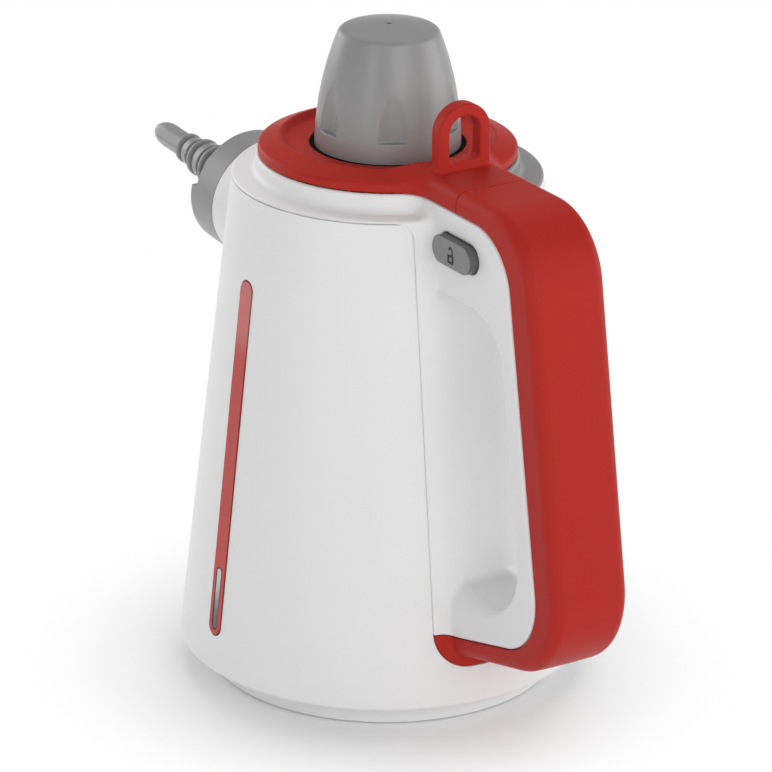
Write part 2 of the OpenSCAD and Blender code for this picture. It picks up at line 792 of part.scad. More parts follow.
// Grey steam tube: ribbed, tapered, with a plain end for the attachments
tube_ribs = 4;
tip_s = boss_s + 69.8;
rib_w = 2.4;
slot_w = 2.2;
slot_depth = 1.4;
slot_turn = 50;
groove_w = 1.8;
groove_depth = 1.5;
inlet_s = -8;
inlet_r = 5;
function rib_s(i) = tip_s - tip_l - i * rib_pitch;
function rib_rad(i) = rib_r + i * rib_grow;
module tube_rib(i) {
    translate([0, 0, rib_s(i) - rib_w / 2])
        rotate_extrude()
            polygon(concat([[steam_r + 0.6, 0], [rib_rad(i) - rib_w / 2, 0]],
                arc([rib_rad(i) - rib_w / 2, rib_w / 2], rib_w / 2, -90, 90, 6), [[steam_r + 0.6, rib_w]]));
}
module rib_slots(i) {
    // Two slots before rib i + 1, with webs between them
    r = rib_rad(i);
    translate([0, 0, rib_s(i) - rib_pitch + rib_w / 2 + 0.1])
        rotate([0, 0, slot_turn])
            difference() {
                cylinder(r = r + 2, h = slot_w);
                translate([0, 0, -1])
                    cylinder(r = r - slot_depth - 0.4, h = slot_w + 2);
                translate([-r - 3, -1.2, -1])
                    cube([2 * r + 6, 2.4, slot_w + 2]);
            }
}
module rib_groove(i) {
    // Groove behind rib i, which leaves the rib a flat back
    translate([0, 0, rib_s(i) - rib_w / 2 + 0.4 - groove_w])
        difference() {
            cylinder(r = rib_rad(i) + 2, h = groove_w);
            translate([0, 0, -1])
                cylinder(r = rib_rad(i) - groove_depth, h = groove_w + 2);
        }
}
module nozzle_tube() {
    last = tube_ribs - 1;
    color("gray")
        on_nozzle(0)
            difference() {
                union() {
                    rotate_extrude()
                        polygon([[0, inlet_s], [inlet_r, inlet_s], [inlet_r, plate_s - 0.5],
                                 [hub_r, plate_s - 0.5], [hub_r, plate_s + plate_t + 1],
                                 [rib_rad(last) - 0.6, rib_s(last)], [rib_rad(0) - 0.6, rib_s(0)],
                                 [tip_r, rib_s(0) + rib_w], [tip_r, tip_s - nose_l],
                                 [tip_r - 0.3, tip_s - 0.6 * nose_l], [tip_r - 0.8, tip_s - 0.25 * nose_l],
                                 [tip_r - 1.3, tip_s - 0.4], [tip_r - 1.7, tip_s], [0, tip_s]]);
                    for (i = [0:last])
                        tube_rib(i);
                }
                translate([0, 0, inlet_s - 1])
                    cylinder(r = steam_r, h = tip_s - inlet_s + 2);
                for (i = [0:last - 1]) {
                    rib_slots(i);
                    rib_groove(i);
                }
            }
}

// Red trim strip let into the left side of the body
trim_l = (trim_z1 - trim_z0) / cos(body_taper);
lens_l = (lens_z1 - lens_z0) / cos(body_taper);
module trim_strip() {
    color("crimson")
        difference() {
            on_cone(trim_az, trim_z0)
                translate([0, 0, seam_gap])
                    slot_bar(trim_w, trim_l - 2 * seam_gap, -trim_depth, trim_proud);
            on_cone(trim_az, lens_z0)
                slot_bar(lens_w + 2 * seam_gap, lens_l, -2 * wall, wall);
        }
}

// Smoked lens of the heating indicator, reaching through trim and wall
module indicator_lens() {
    color("dimgray")
        on_cone(trim_az, lens_z0)
            translate([0, 0, seam_gap])
                slot_bar(lens_w, lens_l - 2 * seam_gap, -wall - 1, trim_proud - 0.1);
}

// Lamp behind the lens, with its small board
module indicator_lamp() {
    color("gold")
        on_cone(trim_az, (lens_z0 + lens_z1) / 2)
            translate([-wall - 1 - seam_gap, 0, 0])
                rotate([0, -90, 0]) {
                    cylinder(r = 2.4, h = 4);
                    translate([0, 0, 4])
                        cylinder(r = 5, h = 1.6);
                }
}

// Cord inlet: a grommet without its lead
gland_flange_r = 9;
gland_hole_r = 3.6;
gland_back = 10;
gland_front = 2.4;
module cord_gland() {
    color("dimgray")
        on_cone(gland_az, gland_z)
            rotate([0, 90, 0])
                difference() {
                    union() {
                        translate([0, 0, -gland_back])
                            cylinder(r = gland_r, h = gland_back + 1);
                        translate([0, 0, seam_gap])
                            cylinder(r1 = gland_flange_r, r2 = gland_flange_r - 1.4, h = gland_front);
                    }
                    translate([0, 0, -gland_back - 1])
                        cylinder(r = gland_hole_r, h = gland_back + gland_front + 2);
                }
}

// Aluminium boiler with a rounded top
boiler_round = 11.5;
module boiler() {
    w = boiler_wall;
    r = boiler_r;
    q = boiler_round;
    color("silver")
        difference() {
            rotate_extrude()
                polygon(concat(
                    [[0, boiler_z0], [r, boiler_z0]],
                    arc([r - q, boiler_z1 - q], q, 0, 90),
                    [[neck_r + neck_wall - 1.5, boiler_z1], [neck_r + neck_wall - 1.5, boiler_z1 - w]],
                    arc([r - q, boiler_z1 - q], q - w, 90, 0),
                    [[r - w, boiler_z0 + w], [0, boiler_z0 + w]]));
            translate([valve_x, 0, boiler_z1 - 2 * w])
                cylinder(r = steam_r, h = 4 * w);
        }
}

// Brass filler neck on the boiler
neck_z1 = seat_z - neck_drop;
module filler_neck() {
    r = neck_r + neck_wall;
    color("goldenrod")
        rotate_extrude()
            polygon([[neck_r, boiler_z1 - boiler_wall], [r - 1.5 - fit_gap, boiler_z1 - boiler_wall],
                     [r - 1.5 - fit_gap, boiler_z1], [r, boiler_z1], [r, neck_z1], [neck_r, neck_z1]]);
}

// Tubular heating element under the boiler
element_r = 26;
element_tube_r = 4;
module heating_element() {
    zc = boiler_z0 - element_tube_r;
    color("gray") {
        rotate_extrude()
            translate([element_r, zc])
                circle(element_tube_r);
        for (a = [-160, 160])
            rotate([0, 0, a])
                translate([element_r, 0, base_floor_z1 + 3])
                    cylinder(r = 1.5, h = zc - base_floor_z1 - 3);
    }
}

// Thermostat on the underside of the boiler
thermostat_r = 8;
thermostat_h = 14;
module thermostat() {
    color("tan")
        translate([0, 0, boiler_z0 - thermostat_h]) {
            cylinder(r = thermostat_r, h = thermostat_h - 2);
            translate([0, 0, thermostat_h - 2])
                cylinder(r = thermostat_r + 2, h = 2);
        }
}

// Thermal fuse clipped beside the thermostat
fuse_r = 2.2;
module thermal_fuse() {
    color("white")
        translate([thermostat_r + 2 + fuse_r + 2, 7, boiler_z0 - fuse_r])
            rotate([90, 0, 0])
                cylinder(r = fuse_r, h = 14);
}

// Sleeved lead from the inlet to the thermostat
lead_r = 2.2;
lead_z = 11;
module supply_lead() {
    y1 = inner_r(gland_z) - gland_back + wall;
    z1 = gland_z - gland_back * sin(body_taper);
    color("black")
        run_tube(bent([[0, y1 - 2.6, z1], [0, y1 - 12, lead_z], [0, thermostat_r + fit_gap, lead_z]], 3 * lead_r),
                 lead_r, [1, 0, 0]);
}

// Brass steam valve on the boiler
valve_x = neck_r + neck_wall + 6.7;
valve_r = 6.2;
valve_x0 = neck_r + neck_wall + 0.5;
valve_x1 = 38;
port_z = nozzle_z - nozzle_x / 6 * sin(nozzle_tilt);
pipe_r = 2.5;
port_y = 9;
module steam_valve() {
    color("goldenrod")
        difference() {
            union() {
                translate([valve_x, 0, boiler_z1])
                    cylinder(r = 5, h = rod_z - boiler_z1);
                translate([valve_x0, 0, rod_z])
                    rotate([0, 90, 0])
                        cylinder(r = valve_r, h = valve_x1 - valve_x0);
                translate([valve_x, 0, port_z])
                    rotate([-90, 0, 0])
                        cylinder(r = pipe_r + 1, h = port_y);
            }
            translate([valve_x - 2, 0, rod_z])
                rotate([0, 90, 0])
                    cylinder(r = rod_r + fit_gap, h = valve_x1);
            translate([valve_x - 2, 0, rod_z])
                rotate([0, 90, 0])
                    cylinder(r = head_r + slide_gap, h = head_l + rod_travel + 4);
        }
}

// Copper pipe from the valve to the nozzle
module steam_pipe() {
    y1 = port_y + 13;
    tail = [0.2 - nozzle_x - inlet_s * cos(nozzle_tilt), 0, nozzle_z + inlet_s * sin(nozzle_tilt)];
    color("peru")
        run_tube(bent([[valve_x, port_y, port_z], [valve_x, y1, port_z], [tail.x + 16, y1, port_z],
                       [tail.x + 8, 0, port_z], tail], 2 * pipe_r), pipe_r, [0, 0, 1]);
}

// Grey trigger inside the hand gap, on a pin across the handle
pivot_z = block_z - pivot_drop;
pivot_x = gap_x(pivot_z) + pivot_in;
arm_x = pivot_x - 6;
boss_pivot_r = 4.5;
trigger_swing = 9;
module trigger_blade() {
    z0 = pivot_z - trigger_l;
    zm = pivot_z - trigger_l * 0.58;
    front = -trigger_proud;
    corner = 2.5;
    difference() {
        union() {
            polygon([[gap_x(pivot_z) + 1, pivot_z + boss_pivot_r - 0.5],
                     [gap_x(pivot_z) - 2, pivot_z - 2],
                     [gap_x(pivot_z - 9) + front, pivot_z - 9],
                     [gap_x(z0 + corner) + front, z0 + corner],
                     [gap_x(z0) + front + corner, z0],
                     [gap_x(z0) + 1, z0], [pivot_x + 2, pivot_z]]);
            translate([gap_x(z0) + front + corner, z0 + corner])
                circle(corner);
        }
        translate([gap_x(zm) + front + 3 - finger_r, zm])
            circle(finger_r);
    }
}
module trigger() {
    color("gray")
        difference() {
            union() {
                translate([0, trigger_hw, 0])
                    rotate([90, 0, 0])
                        linear_extrude(2 * trigger_hw)
                            trigger_blade();
                translate([pivot_x, trigger_hw, pivot_z])
                    rotate([90, 0, 0])
                        cylinder(r = boss_pivot_r, h = 2 * trigger_hw);
                translate([0, trigger_hw / 2, 0])
                    rotate([90, 0, 0])
                        linear_extrude(trigger_hw)
                            polygon([[pivot_x - 3, pivot_z], [arm_x, rod_z - 3], [arm_x, rod_z + 2.5],
                                     [arm_x + 4, rod_z + 2.5], [pivot_x + 4, pivot_z]]);
            }
            translate([pivot_x, handle_hw, pivot_z])
                rotate([90, 0, 0])
                    cylinder(r = pin_r + fit_gap, h = 2 * handle_hw);
        }
}

// Steel pivot pin of the trigger, held in blind holes in the housing's sides
pin_hl = handle_hw - wall / 2;
module trigger_pin() {
    color("silver")
        translate([pivot_x, pin_hl, pivot_z])
            rotate([90, 0, 0])
                cylinder(r = pin_r, h = 2 * pin_hl);
}

// Return spring wound round the pin beside the trigger
spring_wire_r = 0.4;
spring_r = pin_r + 0.4 + spring_wire_r;
module trigger_spring() {
    l = handle_hw - wall - trigger_hw - 2 * slide_gap;
    color("silver")
        translate([pivot_x, trigger_hw + slide_gap, pivot_z])
            rotate([-90, 0, 0])
                coil(spring_r, spring_wire_r, l, 3);
}

// Steel push rod with the valve's plunger head, moved by the trigger's arm
rod_travel = (rod_z - pivot_z) * trigger_swing * PI / 180;
head_r = 3;
head_l = 3;
module push_rod() {
    x0 = valve_x - 2 + head_l + rod_travel + 1;
    color("silver")
        translate([x0, 0, rod_z])
            rotate([0, 90, 0])
                cylinder(r = rod_r, h = arm_x - slide_gap - x0);
}
module valve_plunger() {
    x0 = valve_x - 2 + rod_travel + 1;
    color("goldenrod")
        translate([x0, 0, rod_z])
            rotate([0, 90, 0])
                cylinder(r = head_r, h = head_l);
}

// Grey lock button that slides across the handle
module button_shape(g, l) {
    // Oblong bar along Y, grown by g, from y = 0 back to -l
    h = button_h + 2 * g;
    rotate([90, 0, 0])
        linear_extrude(l) {
            for (side = [-1, 1])
                translate([button_x + side * (button_l - button_h) / 2, button_z])
                    circle(h / 2);
            translate([button_x - (button_l - button_h) / 2, button_z - h / 2])
                square([button_l - button_h, h]);
        }
}
module lock_button() {
    color("gray")
        translate([0, handle_hw, 0])
            button_shape(0, 2 * handle_hw + button_proud);
}

// Grey screw cap with grip dimples and a vent
cap_axis_z = seat_z + cap_waist_h;
cap_z1 = seat_z + cap_top_h;
function cap_rad(z) = cap_r - cap_barrel_r + sqrt(pow(cap_barrel_r, 2) - pow(z - cap_axis_z, 2));
module cap_section(d) {
    // Half section of the cap, shrunk by d
    n = 10;
    z0 = seat_z - cap_skirt;
    crown_r = (pow(cap_rad(cap_z1), 2) + pow(cap_crown, 2)) / (2 * cap_crown);
    span = asin(cap_rad(cap_z1) / crown_r);
    polygon(concat(
        [[0, z0 - (d > 0 ? 1 : 0)], [cap_rad(z0) - d, z0 - (d > 0 ? 1 : 0)]],
        [for (i = [1:n - 1]) let (z = z0 + (cap_z1 - z0) * i / n) [cap_rad(z) - d, min(z, cap_z1 - d)]],
        arc([0, cap_z1 + cap_crown - crown_r], crown_r - d, 90 - span, 90, 6)));
}
module cap_shell() {
    color("darkgray")
        difference() {
            rotate_extrude()
                cap_section(0);
            rotate_extrude()
                cap_section(cap_wall);
            for (i = [0:dimples - 1])
                rotate([0, 0, 360 * (i + 0.5) / dimples + dimple_turn])
                    translate([dimple_in + dimple_r, 0, seat_z + dimple_h])
                        cylinder(r = dimple_r, h = cap_top_h);
            cylinder(r = vent_r, h = 2 * cap_z1);
        }
}

// Grey plug inside the cap that screws into the neck
plug_gap = 0.4;
plug_l = 15;
plug_flange_z = neck_z1 + gasket_t;
plug_flange_t = 3.5;
hub_top_z = cap_z1 - 6;
poppet_bore_r = 3.2;
poppet_seat_t = 2.5;
module cap_plug() {
    z0 = neck_z1 - plug_l;
    z1 = plug_flange_z + plug_flange_t;
    flange_r = cap_rad(plug_flange_z) - cap_wall - seam_gap;
    color("dimgray")
        difference() {
            union() {
                translate([0, 0, z0])
                    cylinder(r = neck_r - plug_gap, h = z1 - z0);
                translate([0, 0, plug_flange_z])
                    cylinder(r = flange_r, h = plug_flange_t);
                translate([0, 0, z1])
                    cylinder(r = 7, h = hub_top_z - z1);
            }
            translate([0, 0, z0 + poppet_seat_t])
                cylinder(r = poppet_bore_r, h = spring_top_z - z0 - poppet_seat_t);
            translate([0, 0, z0 - 1])
                cylinder(r = vent_r + 0.6, h = cap_z1);
        }
}

// Silicone gasket between plug and neck
module cap_gasket() {
    color("seagreen")
        translate([0, 0, neck_z1])
            difference() {
                cylinder(r = neck_r + neck_wall, h = gasket_t);
                translate([0, 0, -1])
                    cylinder(r = neck_r + 0.2, h = gasket_t + 2);
            }
}

// Relief valve in the plug: a poppet held down by a spring
poppet_z0 = neck_z1 - plug_l + poppet_seat_t + 0.05;
poppet_h = 5;
poppet_lift = 1.5;
spring_top_z = poppet_z0 + poppet_h + 22;
module relief_poppet() {
    color("goldenrod")
        translate([0, 0, poppet_z0]) {
            cylinder(r = poppet_bore_r - 0.2, h = poppet_h);
            cylinder(r = 1.1, h = poppet_h + 8);
        }
}
module relief_spring() {
    z0 = poppet_z0 + poppet_h + 0.1;
    color("silver")
        translate([0, 0, z0])
            coil(2.2, 0.35, spring_top_z - z0 - 0.1, 8);
}

front_shell();
rear_housing();
shoulder_insert();
base_plate();
base_pad();
base_screws();
top_collar();
handle_strap();
nozzle_collar();
nozzle_tube();
trim_strip();
indicator_lens();
indicator_lamp();
cord_gland();
boiler();
filler_neck();
heating_element();
thermostat();
thermal_fuse();
supply_lead();
steam_valve();
steam_pipe();
trigger();
trigger_pin();
trigger_spring();
push_rod();
valve_plunger();
lock_button();
cap_shell();
cap_plug();
cap_gasket();
relief_poppet();
relief_spring();
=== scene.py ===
"""Handheld steam cleaner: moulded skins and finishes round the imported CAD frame, lengths in millimetres."""
import math

import bpy
import numpy as np
from mathutils import Matrix, Vector


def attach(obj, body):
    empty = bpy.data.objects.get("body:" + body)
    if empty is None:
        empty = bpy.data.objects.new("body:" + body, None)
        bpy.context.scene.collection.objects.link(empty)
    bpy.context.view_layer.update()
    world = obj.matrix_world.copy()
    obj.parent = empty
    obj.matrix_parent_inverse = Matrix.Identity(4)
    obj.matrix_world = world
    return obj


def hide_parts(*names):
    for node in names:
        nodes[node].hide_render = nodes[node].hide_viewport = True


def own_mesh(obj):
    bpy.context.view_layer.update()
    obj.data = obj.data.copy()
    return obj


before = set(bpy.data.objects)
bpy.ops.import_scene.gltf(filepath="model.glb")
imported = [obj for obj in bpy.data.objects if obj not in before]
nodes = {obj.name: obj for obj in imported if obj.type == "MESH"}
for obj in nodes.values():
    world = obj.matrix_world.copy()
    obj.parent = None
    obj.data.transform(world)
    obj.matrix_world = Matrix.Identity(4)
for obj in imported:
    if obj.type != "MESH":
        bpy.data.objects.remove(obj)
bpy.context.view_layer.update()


# Studio: a seamless sweep of matt white card under soft panels, seen with a long product lens.
# The card keeps the cleaner's shadow near the base and fades to plain white further out.
MM = 0.001
HORIZON = (0.05, 0.14)      # heights in the sky between which its level falls from 1
OVERHEAD = 0.26             # level of the sky above them
SHADOW_FADE = (42, 120)     # distances from the axis over which the card's shadow gives way to white
FLOOR = 3000                # half the card's side


def linear(code):
    """Linear RGBA of an sRGB hex colour such as "B0302B"."""
    parts = [int(code[i:i + 2], 16) / 255 for i in (0, 2, 4)]
    return [c / 12.92 if c <= 0.04045 else ((c + 0.055) / 1.055) ** 2.4 for c in parts] + [1.0]


def add_node(tree, kind, inputs=None, **settings):
    """Adds a node, sets its settings, and sets or links its inputs."""
    node = tree.nodes.new(kind)
    for key, value in settings.items():
        setattr(node, key, value)
    for key, value in (inputs or {}).items():
        if isinstance(value, bpy.types.NodeSocket):
            tree.links.new(value, node.inputs[key])
        else:
            node.inputs[key].default_value = value
    return node


scene = bpy.context.scene
scene.view_settings.view_transform = "Standard"

world = bpy.data.worlds.new("white_room")
scene.world = world
world.use_nodes = True
tree = world.node_tree
tree.nodes.clear()
ways = add_node(tree, "ShaderNodeTexCoord")
level = add_node(tree, "ShaderNodeSeparateXYZ", {0: ways.outputs["Generated"]})
strength = add_node(tree, "ShaderNodeMapRange",
                    {"Value": level.outputs["Z"], "From Min": HORIZON[0], "From Max": HORIZON[1],
                     "To Min": 1.0, "To Max": OVERHEAD}, interpolation_type="SMOOTHSTEP")
sky = add_node(tree, "ShaderNodeBackground", {"Color": linear("FFFFFF"), "Strength": strength.outputs[0]})
add_node(tree, "ShaderNodeOutputWorld", {"Surface": sky.outputs[0]})

# The card is matt white, and shows as plain white past the shadow
card = bpy.data.materials.new("white_card")
card.use_nodes = True
tree = card.node_tree
tree.nodes.clear()
path = add_node(tree, "ShaderNodeLightPath")
place = add_node(tree, "ShaderNodeTexCoord")
reach = add_node(tree, "ShaderNodeVectorMath", {0: place.outputs["Object"]}, operation="LENGTH")
fade = add_node(tree, "ShaderNodeMapRange",
                {"Value": reach.outputs["Value"], "From Min": SHADOW_FADE[0] * MM, "From Max": SHADOW_FADE[1] * MM},
                interpolation_type="SMOOTHSTEP")
mirrored = add_node(tree, "ShaderNodeMath",
                    {0: path.outputs["Is Glossy Ray"], 1: path.outputs["Is Transmission Ray"]}, operation="MAXIMUM")
seen = add_node(tree, "ShaderNodeMath", {0: path.outputs["Is Camera Ray"], 1: mirrored.outputs[0]},
                operation="MAXIMUM")
plain = add_node(tree, "ShaderNodeMath", {0: fade.outputs[0], 1: seen.outputs[0]}, operation="MULTIPLY")
matt = add_node(tree, "ShaderNodeBsdfDiffuse", {"Color": linear("F4F4F4")})
glow = add_node(tree, "ShaderNodeEmission", {"Color": linear("FFFFFF"), "Strength": 1.0})
mixed = add_node(tree, "ShaderNodeMixShader", {0: plain.outputs[0], 1: matt.outputs[0], 2: glow.outputs[0]})
add_node(tree, "ShaderNodeOutputMaterial", {"Surface": mixed.outputs[0]})

sweep = bpy.data.meshes.new("floor_card")
side = FLOOR * MM
sweep.from_pydata([(-side, -side, 0), (side, -side, 0), (side, side, 0), (-side, side, 0)], [], [(0, 1, 2, 3)])
sweep.materials.append(card)
floor = bpy.data.objects.new("floor_card", sweep)
scene.collection.objects.link(floor)

# Soft panels: a high one behind that stays out of the reflections, one behind the lens, an upright strip beside it,
# and one low on either side that edges the round shapes.
# Each has its place and its size in metres, its watts, and whether reflections show it
PANEL_AIM = Vector((0, 0, 0.1))
PANELS = [("panel_back", (-0.93, 0.53, 1.29), (1.1, 1.1), 12.0, False),
          ("panel_front", (1.68, -0.24, 0.85), (1.2, 1.0), 10.5, True),
          ("panel_strip", (0.82, -1.69, 0.8), (0.35, 1.3), 4.5, True),
          ("panel_left", (-1.65, -0.54, 0.6), (1.2, 0.9), 8.5, True),
          ("panel_right", (0.76, 1.63, 0.4), (1.3, 0.9), 9.0, True)]
for name, spot, size, power, shows in PANELS:
    panel = bpy.data.lights.new(name, "AREA")
    panel.shape, panel.energy = "RECTANGLE", power
    panel.size, panel.size_y = size
    lamp = bpy.data.objects.new(name, panel)
    lamp.location = spot
    lamp.rotation_euler = (PANEL_AIM - Vector(spot)).to_track_quat("-Z", "Y").to_euler()
    lamp.visible_camera, lamp.visible_glossy = False, shows
    scene.collection.objects.link(lamp)

# Long lens, 32 degrees round from the handle and looking down, solved from the body's circles.
# Place in metres; focal length and shift in pixels of a square picture
CAMERA_AT = Vector((1.1551, -0.7218, 0.6345))
CAMERA_RIGHT = Vector((0.52648, 0.85013, 0.01011))
CAMERA_BACK = Vector((0.78802, -0.49241, 0.36954))
PICTURE_SIDE, FOCAL_LENGTH, LENS_SHIFT = 772, 4565.1, 0.9
SENSOR = 36
lens = bpy.data.cameras.new("product_lens")
lens.sensor_width = SENSOR
lens.lens = SENSOR * FOCAL_LENGTH / PICTURE_SIDE
lens.shift_x = LENS_SHIFT / PICTURE_SIDE
lens.clip_end = 20
camera = bpy.data.objects.new("product_camera", lens)
turn = Matrix((CAMERA_RIGHT, CAMERA_BACK.cross(CAMERA_RIGHT), CAMERA_BACK)).transposed()
camera.matrix_world = Matrix.Translation(CAMERA_AT) @ turn.to_4x4()
scene.collection.objects.link(camera)
scene.camera = camera


# Front shell and base: white ABS mouldings, the cone wrapped round the body with its nozzle boss, and the foot ring.
# Fine spark-eroded satin that shows broad soft highlights; both keep their CAD solids, with seams as moulded.
def moulded(name, colour, roughness, grain_mm=0.4, grain_depth=0.01, edge_mm=0.35, shift=None, gloss=0.5):
    """Injection-moulded plastic: fine grain in the sheen, a slow drift of tone and edges broken by edge_mm.

    The grain is drawn coarser than a real spark-eroded texture, so that it shows in a picture.
    shift = (colour, axis, from, to) turns the colour into a second one along an axis of the part."""
    drift, drift_mm, sheen_spread, grain_strength = 0.02, 60, 0.04, 0.4
    made = bpy.data.materials.new(name)
    made.use_nodes = True
    tree = made.node_tree
    shader = tree.nodes["Principled BSDF"]
    shader.inputs["Specular IOR Level"].default_value = gloss
    spot = add_node(tree, "ShaderNodeTexCoord")
    slow = add_node(tree, "ShaderNodeTexNoise",
                    {"Vector": spot.outputs["Object"], "Scale": 1 / (drift_mm * MM), "Detail": 2.0})
    dark, pale = ([min(1, c * (1 + sign * drift)) for c in linear(colour)[:3]] + [1] for sign in (-1, 1))
    tone = add_node(tree, "ShaderNodeMixRGB", {"Fac": slow.outputs["Fac"], "Color1": dark, "Color2": pale})
    if shift:
        second, axis, start, end = shift
        apart = add_node(tree, "ShaderNodeSeparateXYZ", {0: spot.outputs["Object"]})
        share = add_node(tree, "ShaderNodeMapRange",
                         {"Value": apart.outputs[axis], "From Min": start * MM, "From Max": end * MM},
                         interpolation_type="SMOOTHSTEP")
        tone = add_node(tree, "ShaderNodeMixRGB",
                        {"Fac": share.outputs[0], "Color1": tone.outputs[0], "Color2": linear(second)})
    grain = add_node(tree, "ShaderNodeTexNoise",
                     {"Vector": spot.outputs["Object"], "Scale": 1 / (grain_mm * MM), "Detail": 2.0})
    sheen = add_node(tree, "ShaderNodeMapRange",
                     {"Value": grain.outputs["Fac"], "To Min": roughness - sheen_spread,
                      "To Max": roughness + sheen_spread})
    edge = add_node(tree, "ShaderNodeBevel", {"Radius": edge_mm * MM}, samples=6)
    bump = add_node(tree, "ShaderNodeBump",
                    {"Height": grain.outputs["Fac"], "Distance": grain_depth * MM, "Strength": grain_strength,
                     "Normal": edge.outputs[0]})
    tree.links.new(tone.outputs[0], shader.inputs["Base Color"])
    tree.links.new(sheen.outputs[0], shader.inputs["Roughness"])
    tree.links.new(bump.outputs[0], shader.inputs["Normal"])
    return made


def finish_node(node, material):
    """Gives a CAD node that stays on show its finish."""
    nodes[node].data.materials.clear()
    nodes[node].data.materials.append(material)


white_abs = moulded("white_abs", "F3F3F3", 0.36)
finish_node("front_shell", white_abs)
finish_node("base_plate", white_abs)


# Rear housing: one white ABS moulding of the rear strip, the left of the shoulder and the hollow handle core.
# Its skin is traced from a distance field, so that the core runs into the body with a mould's fillets.
TAPER = math.radians(6.17)
BODY_R, BODY_R_Z = 65, 20                       # the cone's radius, and the height it is measured at
WALL = 2.5
SEAM_EDGE = 0.3                                 # rounding of edges that meet another piece
CORE_HALF, CORE_START = 14, 30                  # half the handle's width, and its start inside the body
HAND_GAP = dict(face=91.8, lean=9.6, top=144.9, level=49.5, rise=0.0, r_top=17.0, r_low=18.0)
PARTING = dict(face=99.8, lean=10.6, top=172.3, level=39.7, rise=14.9, r_top=20.0, r_low=20.0)
FACE_Z, LEVEL_X = 110, 90                       # where a line's face and its level are measured
PARTING_EDGE = 1.1
GRIP_EDGE, BRIDGE_EDGE = 1, 9                   # long edges on the grip and on the lower bridge
BRIDGE_X, BRIDGE_Z = (91, 62), (85, 65)         # stretches over which the one grows into the other
FILLET_Z = [60, 80, 130, 145, 163, 168]         # fillet between core and body, by height
FILLET_R = [2.8, 4.0, 4.0, 4.0, 3.0, 4.0]
LEDGE_Z, LEDGE_EDGE = 166.3, 0.9                # the shoulder's flat ledge
LIP_R, LIP_BORE, LIP_FILLET = 41.6, 40.2, 2.4   # the upright lip under the collar
HOLLOW_TOP, HOLLOW_EDGE = 163.5, 0.4            # ceiling of the body's hollow, least rounding in the grip's
STRIP_HALF, STRIP_START, STRIP_FOOT = 18.95, 20, 33.15   # the strip down the back of the body
STRIP_CORNER = 5
SHOULDER_SEAM, INSERT_FLOOR = 165.35, 165       # seam on the front shell, and floor of the insert's gap
INSERT_TURN = math.radians(25)                  # the insert starts this far round from the handle
BUTTON_X, BUTTON_Z, BUTTON_STRAIGHT, BUTTON_R = 63.7, 160.8, 6.25, 4.4
BUTTON_ROOM = 0.3
POCKET_X, POCKET_Z, POCKET_HALF = 89.92, 120.4, (8, 8.1, 24.5)   # pocket of the trigger
ROD_X, ROD_Z, ROD_HALF, ROD_BORE = 60, 152.3, 26, 3              # bore of the push rod
REAR_BOX = (-51, -51, 32), (113, 25, 174)       # box in which the skin is traced


def joined(a, b, r):
    """Both fields together, with a fillet of radius r in the corner."""
    return np.maximum(r, np.minimum(a, b)) - np.hypot(np.maximum(r - a, 0), np.maximum(r - b, 0))


def shared(a, b, r):
    """What both fields hold, with its edge rounded to radius r."""
    return np.minimum(-r, np.maximum(a, b)) + np.hypot(np.maximum(r + a, 0), np.maximum(r + b, 0))


def corner(a, b, k, r):
    """What two half-planes hold, rounded to radius r, where k is the dot product of their normals."""
    u, v = a + r, b + r
    p, q = (u - k * v) / (1 - k * k), (v - k * u) / (1 - k * k)
    rounded = np.sqrt(np.maximum(p * p + q * q + 2 * k * p * q, 0)) - r
    return np.where((p > 0) & (q > 0), rounded, np.maximum(a, b))


def side_line(x, z, face, lean, top, level, rise, r_top, r_low):
    """Distance to a side-view line of the handle: level top, leaning face and rising floor with round corners."""
    lean, rise = math.radians(lean), math.radians(rise)
    front = (x - face) * math.cos(lean) + (z - FACE_Z) * math.sin(lean)
    under = (x - LEVEL_X) * math.sin(rise) - (z - level) * math.cos(rise)
    return np.maximum(corner(z - top, front, math.sin(lean), r_top),
                      corner(front, under, math.sin(rise - lean), r_low))


def cone(x, y, z):
    """Distance to the body's outer cone."""
    return (np.hypot(x, y) - BODY_R + (z - BODY_R_Z) * math.tan(TAPER)) * math.cos(TAPER)


def slope(field, p, reach=0.02):
    """Value and gradient of a field at points p."""
    steps = np.eye(3) * reach
    grad = np.stack([(field(*(p + s).T) - field(*(p - s).T)) / (2 * reach) for s in steps], 1)
    return field(*p.T), grad


def relaxed(points, quads, normal, pull):
    """Points moved along the surface by the share pull towards the mean of their neighbours."""
    mean, links = np.zeros_like(points), np.zeros(len(points))
    for i in range(4):
        for a, b in ((i, (i + 1) % 4), ((i + 1) % 4, i)):
            for c in range(3):
                mean[:, c] += np.bincount(quads[:, a], points[quads[:, b], c], len(points))
            links += np.bincount(quads[:, a], minlength=len(points))
    drift = mean / np.maximum(links, 1)[:, None] - points
    return points + pull * (drift - normal * (drift * normal).sum(1)[:, None])


